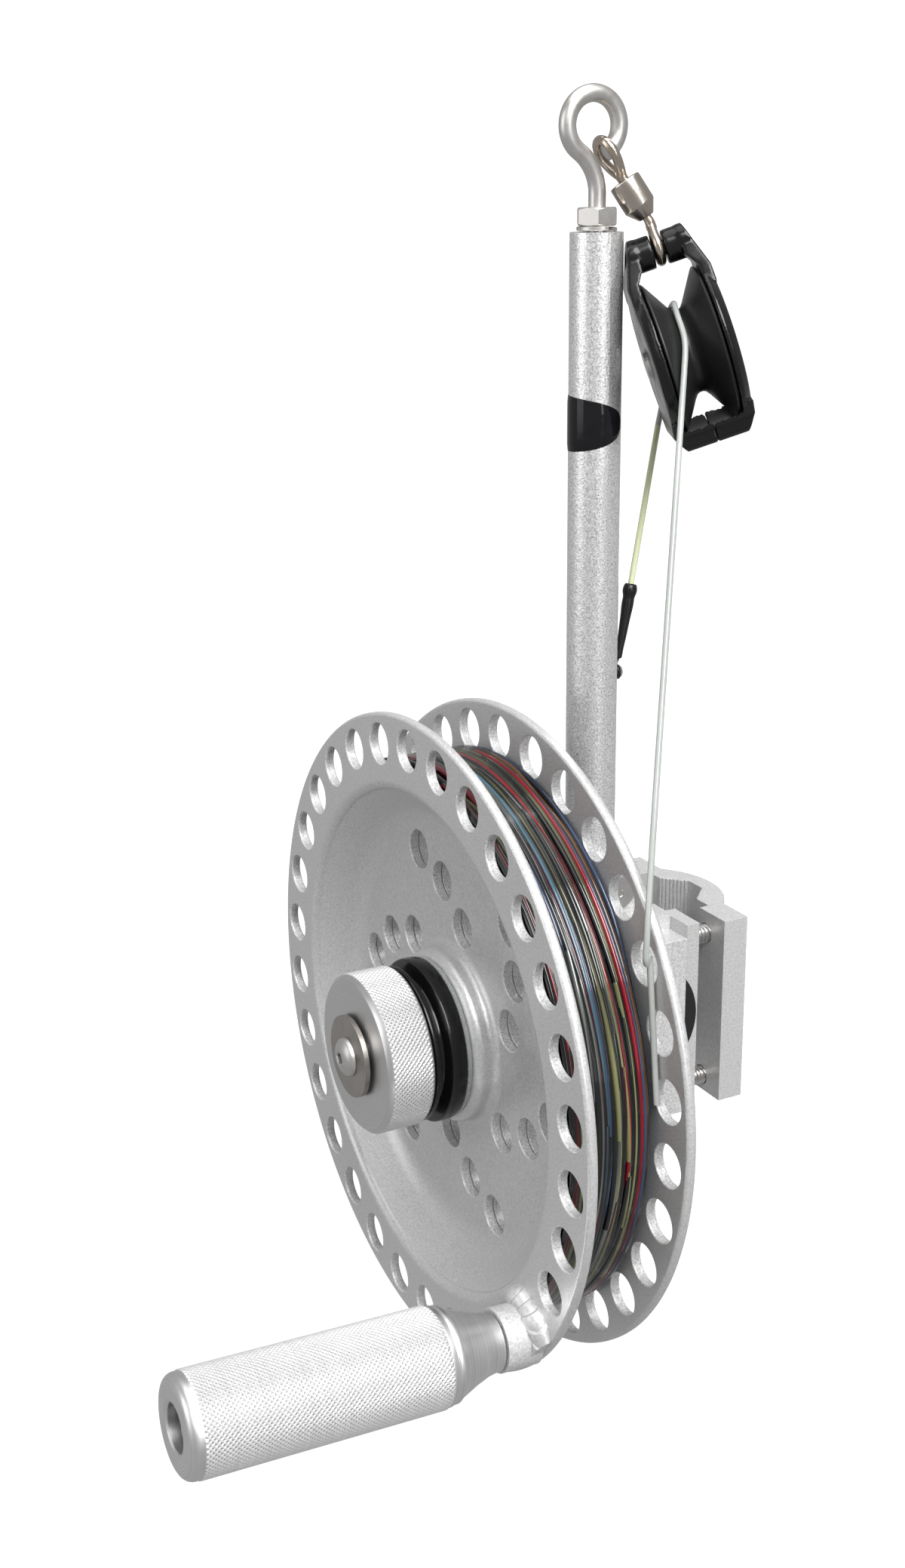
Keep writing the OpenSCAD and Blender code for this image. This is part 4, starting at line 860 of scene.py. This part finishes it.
GRIP_R, GRIP_DEPTH, GRIP_L, GRIP_SEAT = 15.0, 0.5, 80.5, 71.6
GRIP_BORE = 4.82
CONE_FROM = 11.75
GRIP_FROM = CONE_FROM + 15.5 + 2.4
grip_in = [(GRIP_BORE, 0), (14.1, 0), (14.6, 0.4), (14.7, 1.2), (14.75, 1.9)]
grip_out = [(14.7, 76.5)] + arc(11.7, GRIP_L - 3, 3.0, 0, 90, 8)
grip_out += [(8.0, GRIP_L), (7.35, 80.3), (7.0, 79.7), (7.0, GRIP_SEAT), (GRIP_BORE, GRIP_SEAT)]
pts, faces = knurled_turning(grip_in, knurl(GRIP_R, 2.2, 76.2, 60, 92, GRIP_DEPTH), grip_out, 120)
held = add_mesh("knurled_grip", placed(HANDLE @ shift(0, 0, GRIP_FROM), pts), faces,
                [GRIP_METAL, GRIP_KNURL], "hand_grip", ("grip",), 24)
mark_peaks(held, HANDLE_POINT, HANDLE_WAY, GRIP_R, GRIP_DEPTH, GRIP_FROM + 2.15, GRIP_FROM + 76.3)

cone = [(GRIP_BORE, 0), (8.5, 0), (8.9, 0.4), (8.95, 2.0), (9.4, 4.5), (11.0, 9.2), (13.3, 14.6)]
cone += [(13.75, 15.4), (14.0, 15.7), (14.25, 16.1), (14.25, 17.4), (13.9, 17.9), (GRIP_BORE, 17.9)]
add_shape("turned_cone", HANDLE @ shift(0, 0, CONE_FROM), polar(cone, 96, loop=True), CONE_METAL,
          "hand_grip", ("handle_cone",), 40)

# The brake disc: its wide rear lip, its groove and its front lip.
brake = [(AXLE_BORE, 0), (25.5, 0), (26.0, 0.25), (26.2, 0.8), (26.2, 4.3), (26.05, 4.8), (25.6, 5.1)]
brake += [(21.6, 5.2), (20.9, 5.5), (20.7, 6.0), (20.7, 7.6), (20.9, 8.1), (21.5, 8.3), (24.2, 8.35)]
brake += [(24.65, 8.55), (24.8, 8.9), (24.8, 9.7), (24.65, 10.05), (24.2, 10.2), (AXLE_BORE, 10.2)]
add_shape("turned_brake", SPOOL @ shift(0, 0, 12.7), polar(brake, 200, loop=True), BLACK_DISC,
          "brake", ("brake_disc",), 30)


def socket_head(r, h, af, deep, n=72):
    """A cylinder head with a hexagon socket that deep."""
    rows = [(r - 0.3, 0), (r, 0.3), (r, h - 0.6), (r - 0.2, h - 0.2), (r - 0.6, h)]
    rows += [(hex_radius(af + 0.5), h), (hex_radius(af), h - 0.3), (hex_radius(af), h - deep)]
    return polar(rows, n)


def dome_head(r, h, af, deep, n=72):
    """A domed head with a hexagon socket that deep."""
    rows = [(r - 0.15, 0), (r, 0.3)]
    for k in range(1, 9):
        a = math.radians(8 + 62 * k / 8)
        rows.append((r * math.cos(a) ** 0.9, 0.3 + (h - 0.3) * math.sin(a) / math.sin(math.radians(70))))
    rows += [(hex_radius(af + 0.6), h), (hex_radius(af), h - 0.35), (hex_radius(af), h - deep)]
    return polar(rows, n)


def steel_part(name, frame_matrix, shape, node, mat=STAINLESS, angle=26, body="mount"):
    """A screw, bolt or nut that stands for the node."""
    add_shape(name, frame_matrix, shape, mat, body, (node,), angle)


FENDER_FACE = KNOB_FROM + KNOB_T + 2.5
end_screw = joined(dome_head(6.2, 3.1, 3.4, 2.2), polar([(3.1, -13), (3.1, 0.1)], 32))
steel_part("dome_screw", SPOOL @ shift(0, 0, FENDER_FACE), end_screw, "end_screw", SATIN, 30)
BOLT_FROM = GRIP_SEAT + GRIP_FROM
pivot_head = moved(shift(0, 0, BOLT_FROM + 0.35), socket_head(6.5, 5.0, 6.0, 2.8))
pivot = joined(pivot_head, polar([(4.72, 0.5), (4.72, BOLT_FROM + 0.5)], 40))
steel_part("pivot_bolt", HANDLE, pivot, "handle_bolt", ZINC, 30, "spool")

# Nuts, bolts and threads, all of a quarter inch but the axle's nut.
THREAD_R, THREAD_PITCH = 3.15, 1.27
HEX_AF = 11.1
CLAMP_X, CLAMP_Z = 21.4, 25.4
CLAMP_HEAD, CLAMP_END = -39.95, 17.55
clamp = []
for x in (-CLAMP_X, CLAMP_X):
    for z in (-CLAMP_Z, CLAMP_Z):
        place = shift(x, 0, z) @ turn(-90, "X")
        head_place = place @ shift(0, 0, CLAMP_HEAD) @ turn(180, "X")
        clamp.append(moved(head_place, socket_head(4.72, 4.0, 4.6, 2.4, 48)))
        clamp.append(moved(place, threaded(THREAD_R, 0.62, THREAD_PITCH, CLAMP_HEAD, CLAMP_END)))
pts, faces = joined(*clamp)
add_mesh("threaded_clamp_bolts", pts * MM, faces, [STAINLESS], "mount", ("clamp_bolts",), 26)

# The cross bolt runs through the boss, whose sides are BOSS_OUT from the mast's middle.
CROSS_Z, BOSS_OUT, CROSS_PLAIN = 44, 14, -13
cross_head = joined(hex_nut(HEX_AF, 4.4, 1.0), polar([(2.4, 4.25), (0.6, 4.3)], 24))
cross_bolt = joined(
    moved(shift(0, 0, BOSS_OUT), cross_head),
    threaded(THREAD_R, 0.5, THREAD_PITCH, -BOSS_OUT - 6.2, CROSS_PLAIN),
    polar([(THREAD_R, CROSS_PLAIN), (THREAD_R, BOSS_OUT)], 32),
)
steel_part("cross_bolt", shift(0, MAST_Y, CROSS_Z) @ turn(90, "Y"), cross_bolt, "mast_bolt")
cross_nut_place = shift(-BOSS_OUT, MAST_Y, CROSS_Z) @ turn(-90, "Y")
steel_part("cross_nut", cross_nut_place, hex_nut(HEX_AF, 5.4, 3.2), "mast_bolt_nut")
EYE_NUT_Z, WASHER_Z = 246.2, 244.52
eye_nut_place = shift(0, MAST_Y, EYE_NUT_Z) @ turn(PULLEY_TURN - 90, "Z")
steel_part("eye_nut", eye_nut_place, hex_nut(HEX_AF, 5.2, 2.65), "eyebolt_nut", EYE_STEEL)
AXLE_NUT_FROM, AXLE_NUT_AF = -34.0, 19.05
steel_part("shaft_nut", SPOOL @ shift(0, 0, AXLE_NUT_FROM), hex_nut(AXLE_NUT_AF, 8.0, 6.4), "axle_nut")

# The split lock washer, its two ends a little apart.
section = [(2.75, 0.1), (2.75, 1.05), (3.0, 1.2), (5.75, 1.2), (6.0, 1.0), (6.0, 0.2), (5.8, 0), (3.0, 0)]
rows = []
steps = 90
for k in range(steps + 1):
    a = math.radians(20 + 344 * k / steps)
    z = WASHER_Z + 0.5 * k / steps
    rows += [(r * math.cos(a), MAST_Y + r * math.sin(a), z + h) for r, h in section]
sides = len(section)
faces = []
for k in range(0, steps * sides, sides):
    for i in range(sides):
        j = (i + 1) % sides
        faces.append((k + i, k + j, k + sides + j, k + sides + i))
faces += [tuple(range(sides - 1, -1, -1)), tuple(range(steps * sides, steps * sides + sides))]
add_mesh("split_washer", np.array(rows) * MM, faces, [EYE_STEEL], "mount", ("lock_washer",), 40)


# The eyebolt: one bent wire with a rounded end.
def bent_eye():
    neck_z, wire_r = 255.0, 2.6
    rise = EYE_Z - neck_z
    neck_r = (rise ** 2 - EYE_R ** 2 + EYE_OFF ** 2) / (2 * (EYE_R + EYE_OFF))
    sweep = math.degrees(math.atan2(rise, neck_r - EYE_OFF))
    flat = [(MAST_Y, 225.0), (MAST_Y, 236.0), (MAST_Y, 247.0)]
    flat += arc(MAST_Y - neck_r, neck_z, neck_r, 0, sweep, 26)
    flat += arc(EYE_Y, EYE_Z, EYE_R, 180 + sweep, HOOK_ANGLE, 110)[1:]
    tail = arc(EYE_Y, EYE_Z, EYE_R, -60.8, -63, 4)
    radii = [wire_r] * len(flat) + [2.55, 2.4, 2.1, 1.7, 1.0]
    return tube([(0, y, z) for y, z in flat + tail], radii, 28)


pts, faces = bent_eye()
add_mesh("bent_eye", pts * MM, faces, [EYE_STEEL], "mount", ("eyebolt",), 50)


# The barrel swivel: a wire loop, a barrel with a coned foot, and a slim loop round the pulley's pin.
BARREL_FROM, BARREL_L = 9.3, 12.4


def half_ring(r, z, way):
    """Half a circle in local YZ about height z; way is 1 for the upper half and -1 for the lower."""
    turns = [math.pi * k / 24 for k in range(25)]
    return [(0, r * math.cos(a), z + way * r * math.sin(a)) for a in turns]


right = [(0.02, -4.1, -1.9), (0.05, -3.3, -3.9), (0.08, -1.95, -6.0)]
right += [(0.1, -0.75, -7.4), (0.1, -0.35, -8.4), (0.1, -0.3, -9.8)]
left = [(-x, -y, z) for x, y, z in right[::-1]]
loop = tube(smooth_path(left + half_ring(4.2, -0.35, 1) + right, 0.4), 1.45, 20)
tail = polar([(1.25, -14.4), (1.25, -9.7), (1.5, -9.4), (1.5, -7.6), (1.2, -7.0), (0.5, -6.6)], 28)
head = polar([(1.9, -14.3), (2.5, -14.1), (2.6, -13.4), (2.4, -12.4), (1.3, -12.3)], 32)
add_shape("swivel_top_wire", SWIVEL, joined(loop, tail, head), PLATED_WIRE, "swivel_eye",
          ("swivel_eye_top",), 60)

barrel = [(1.36, 0.15), (2.1, 0), (2.35, 0.05), (2.5, 0.25), (4.62, 3.5), (4.76, 3.75), (4.8, 4.05)]
barrel += [(4.8, 11.55), (4.74, 11.85), (4.5, 12.12), (4.2, 12.2), (2.2, BARREL_L)]
barrel += [(1.7, 12.36), (1.36, 12.1)]
add_shape("swivel_body", SWIVEL @ shift(0, 0, -BARREL_FROM - BARREL_L), polar(barrel, 96, loop=True), PLATED,
          "swivel", ("swivel_barrel",), 26)

left = [(0.05, 0.3, 38.8), (0.05, 0.55, 37.6), (0.05, 2.0, 35.5), (0, 3.7, 33.1)]
right = [(-x, -y, z) for x, y, z in left[::-1]]
loop = tube(smooth_path(left + half_ring(4.05, 31.35, -1) + right, 0.4), 1.4, 20)
kink = BLOCK.inverted() @ KINK
neck_top = BLOCK.inverted() @ (HOOK + WAY * (BARREL_FROM + BARREL_L - 0.1))
neck = [(0, 0, 36.9), (0, 0, 38.2), kink.lerp(neck_top, 0.12), kink.lerp(neck_top, 0.5), neck_top]
neck = smooth_path(neck, 0.4)
neck_r = [1.5 + 0.12 * math.cos(math.pi * min(1, k / 9)) for k in range(len(neck))]
add_shape("swivel_low_wire", BLOCK, joined(loop, tube(neck, neck_r, 24)), PLATED_WIRE, "swivel",
          ("swivel_eye_bottom",), 60)


# The weld: overlapping ripples round the stub's foot, kept on the flange and clear of the two next holes.
def weld():
    n, m = 420, 22
    inner, scales = 9.5, 17
    clear, keep_r = 6.9, 104.2
    pts = []
    wob = np.random.default_rng(3).uniform(0, 2 * math.pi, 6)
    holes = [math.radians(HANDLE_HOLE_TURN + step) for step in (-RIM_STEP, RIM_STEP)]
    for i in range(n):
        a = 2 * math.pi * i / n
        wide = 4.4 + 0.5 * math.sin(3 * a + wob[0]) + 0.35 * math.sin(7 * a + wob[1])
        high = 4.4 + 0.5 * math.sin(2 * a + wob[2]) + 0.3 * math.sin(5 * a + wob[3])
        for j in range(m + 1):
            s = j / m
            bulge = 1 + 0.10 * math.sin(math.pi * s)
            curve = 0.42 * math.sin(math.pi * s)
            f = (a / (2 * math.pi) * scales + curve + 0.12 * math.sin(4 * a + wob[4])) % 1.0
            rise = f ** 0.8 if f < 0.9 else (1 - f) / 0.1 * 0.9 ** 0.8
            scale = 0.62 * rise * math.sin(math.pi * min(1, 0.08 + s * 0.92)) ** 0.6
            q = math.radians(90 * s)
            r = inner + (wide * bulge + scale) * math.sin(q)
            h = (high * bulge + scale) * math.cos(q) - 0.7 * s
            pts.append((r * math.cos(a), r * math.sin(a), h))
    local, _ = moved(SPOOL.inverted(), moved(HANDLE, (pts, None)))
    rad = np.hypot(local[:, 0], local[:, 1])
    low = local[:, 2] < 20.5
    limit = keep_r - np.maximum(0, 17.9 - local[:, 2]) * 1.5
    local[:, :2] *= np.where(rad > limit, limit / rad, 1.0)[:, None]
    for hole in holes:
        centre = 95 * np.array([math.cos(hole), math.sin(hole)])
        v = local[:, :2] - centre
        dist = np.linalg.norm(v, axis=1)
        push = np.where((dist < clear) & low, clear / np.maximum(dist, 1e-6), 1.0)
        local[:, :2] = centre + v * push[:, None]
    faces = []
    for i in range(n):
        a, b = i * (m + 1), (i + 1) % n * (m + 1)
        faces += [(a + j, a + j + 1, b + j + 1, b + j) for j in range(m)]
    return placed(SPOOL, local), faces


pts, faces = weld()
WELD_METAL = coat("weld_metal", 0.58, 1100, 0.16, 0.42, metal=0.6, speck=0.08)
add_mesh("weld_ripples", pts, faces, [WELD_METAL], "spool", ("weld_bead",), 60)


# The label: a thin oval wrapped round the mast, left bare.
def label():
    steps, up = 120, 8
    inner, thick = MAST_R + 0.02, 0.28
    middle_z, half_h = 189.4, 8.25
    middle, half_turn = PULLEY_TURN - 182, 165
    pts, faces = [], []
    for i in range(steps + 1):
        s = -1 + 2 * i / steps
        a = math.radians(middle + half_turn * s)
        half = max(0.15, half_h * math.sqrt(max(0, 1 - s * s)))
        for j in range(up + 1):
            t = -1 + 2 * j / up
            edge = 1 - max(abs(t) ** 12, abs(s) ** 30)
            r = inner + thick * (0.35 + 0.65 * edge)
            pts.append((r * math.cos(a), MAST_Y + r * math.sin(a), middle_z + half * t))
    for i in range(steps):
        for j in range(up):
            k = i * (up + 1) + j
            faces.append((k, k + up + 1, k + up + 2, k + 1))
    return np.array(pts) * MM, faces


pts, faces = label()
add_mesh("bare_oval", pts, faces, [VINYL], "mount", ("mast_label",), 60)


# The shrink sleeve with its wrinkles, and the crimped eye under it, held by the keeper's screw.
SLEEVE_TOP, SLEEVE_LOW, KEEPER_Z = 138.0, 117.0, 111
way = (line_end - over_mm[-1]).normalized()
top, low = down_line(SLEEVE_TOP), down_line(SLEEVE_LOW)
centre, radii = [], []
for k in range(41):
    s = k / 40
    bow = 0.25 * math.sin(math.pi * s)
    centre.append(top.lerp(low, s) + Vector((0, 0.1 * bow, 0)))
    flare = 0.36 * math.exp(-((s - 0.09) / 0.07) ** 2) - 0.14 * math.exp(-((s - 0.2) / 0.05) ** 2)
    r = 1.85 + flare + 0.12 * math.sin(s * 9) * (1 - s)
    radii.append(max(1.12, r - 1.25 * max(0, s - 0.35)))
radii[0] = 1.7
pts, faces = tube(centre, radii, 24)
add_mesh("shrink_sleeve", pts * MM, faces, [SHRINK], "mount", ("line_sleeve",), 60)
KEEP = shift(0, MAST_Y, KEEPER_Z) @ turn(KEEPER_TURN, "Z") @ turn(90, "Y") @ shift(0, 0, MAST_R)
ring = [(x, y, 0.82) for x, y in arc(0, 0, 2.0, 0, 360, 40)[:-1]]
neck_low = on_side(0.85, 113.0)
stem = smooth_path([line_end - way * 1.5, line_end + way * 1.5, line_end.lerp(neck_low, 0.8), neck_low], 0.4)
stem_r = [1.1 if k < len(stem) * 0.55 else 0.5 for k in range(len(stem))]
pts, faces = joined(moved(KEEP, tube(ring, 0.42, 12, loop=True)), tube(stem, stem_r, 14))
add_mesh("crimped_eye", pts * MM, faces, [SHRINK], "mount", ("line_snap",), 50)


# Materials on every node; the block and the jaws also get their edges eased.
def dress(node, mat, ease=0.0):
    o = NODES[node]
    o.data.materials.clear()
    o.data.materials.append(mat)
    if ease:
        weld_mod = o.modifiers.new("weld", "WELD")
        weld_mod.merge_threshold = 0.000004
        bev = o.modifiers.new("ease", "BEVEL")
        bev.width = ease * MM
        bev.segments = 2
        bev.limit_method = "ANGLE"
        bev.angle_limit = math.radians(30)
        bev.use_clamp_overlap = True
        bev.harden_normals = True


NODE_LOOK = {
    "mast": COAT["mast"], "front_dish": COAT["dish"], "rear_dish": COAT["dish"],
    "handle_stub": COAT["stub"], "weld_bead": COAT["stub"],
    "drag_knob": KNOB_METAL, "handle_cone": CONE_METAL, "grip": GRIP_METAL,
    "fender_washer": FENDER, "hub_bushings": BRONZE, "friction_washer": CLEAR,
    "swivel_eye_top": PLATED, "swivel_barrel": PLATED, "swivel_eye_bottom": PLATED,
    "mast_label": VINYL, "jaw_pad": RUBBER, "line_sleeve": SHRINK, "line_snap": SHRINK,
    "brake_disc": BLACK_DISC, "left_cheek": BLACK, "right_cheek": BLACK, "core_pin": BLACK, "sheave": BLACK,
    "line_core": WOUND["black"], "line_winding": WOUND["red"],
    "line_up": LINE_PALE, "line_over": LINE_PALE, "line_down": LINE_PALE,
}
EASED = {
    "mast_block": (COAT["block"], 0.4),
    "inner_jaw": (COAT["jaw"], 0.25), "outer_jaw": (COAT["jaw"], 0.25),
}
for name in NODES:
    if name in EASED:
        dress(name, *EASED[name])
    else:
        dress(name, NODE_LOOK.get(name, STAINLESS))


# The studio, in metres: a pale floor, an even white surround and four soft lights.
# Each light has its place, its aim, its width, its height and its power.
LIGHTS = (
    ("key", (1.47, -0.19, 1.84), (0, -0.06, 0.08), 1.7, 1.7, 100),
    ("front", (-0.15, -1.9, 0.55), (0, -0.06, 0.10), 1.1, 1.3, 8),
    ("side", (1.9, 0.06, 0.60), (0, 0, 0.10), 0.26, 1.3, 5),
    ("top", (-0.1, -0.2, 1.9), (0, -0.06, 0.05), 1.6, 1.6, 14),
)
FLOOR_Z = -0.1062
STUDIO_R = 9.0


def stage_mesh(name, points, faces):
    me = bpy.data.meshes.new(name)
    me.from_pydata([tuple(v) for v in points], [], faces)
    o = bpy.data.objects.new(name, me)
    bpy.context.scene.collection.objects.link(o)
    return o


def stage():
    disc = [(x, y, FLOOR_Z) for x, y in arc(0, 0, STUDIO_R, 0, 360, 96)[:-1]]
    floor = stage_mesh("floor", disc, [tuple(range(96))])
    m = Mat("floor")
    m.colour(m.ramp(m.noise(3.0, 2.0), (0.3, (0.14, 0.14, 0.14)), (0.7, (0.16, 0.16, 0.16))))
    m.put(Roughness=0.9, Emission_Color=(1, 1, 1, 1), Emission_Strength=0.96)
    floor.data.materials.append(m.m)
    floor.visible_diffuse = False
    floor.visible_glossy = False
    rows = [(max(a, 0.01), b) for a, b in arc(0, FLOOR_Z - 0.02, STUDIO_R, 0, 90, 18)]
    dome = stage_mesh("backdrop", *polar(rows, 72, caps=(False, False)))
    m = Mat("backdrop")
    m.colour(m.ramp(m.noise(0.3, 2.0), (0.3, (0.9, 0.9, 0.9)), (0.7, (0.92, 0.92, 0.92))))
    m.put(Roughness=1.0, Emission_Color=(1, 1, 1, 1), Emission_Strength=1.0)
    dome.data.materials.append(m.m)
    dome.visible_diffuse = False
    dome.visible_glossy = False
    dome.visible_shadow = False
    world = bpy.data.worlds.new("studio")
    bpy.context.scene.world = world
    world.use_nodes = True
    bg = next(n for n in world.node_tree.nodes if n.type == "BACKGROUND")
    bg.inputs["Color"].default_value = (1, 1, 1, 1)
    bg.inputs["Strength"].default_value = 0.44
    for name, at, aim, size, tall, power in LIGHTS:
        data = bpy.data.lights.new(name, "AREA")
        data.shape = "ELLIPSE" if size == tall else "RECTANGLE"
        data.size = size
        data.size_y = tall
        data.energy = power
        o = bpy.data.objects.new(name, data)
        o.matrix_world = (Vector(aim) - Vector(at)).to_track_quat("-Z", "Y").to_matrix().to_4x4()
        o.location = at
        bpy.context.scene.collection.objects.link(o)
    bpy.context.scene.view_settings.view_transform = "Standard"
    bpy.context.scene.view_settings.look = "None"


stage()
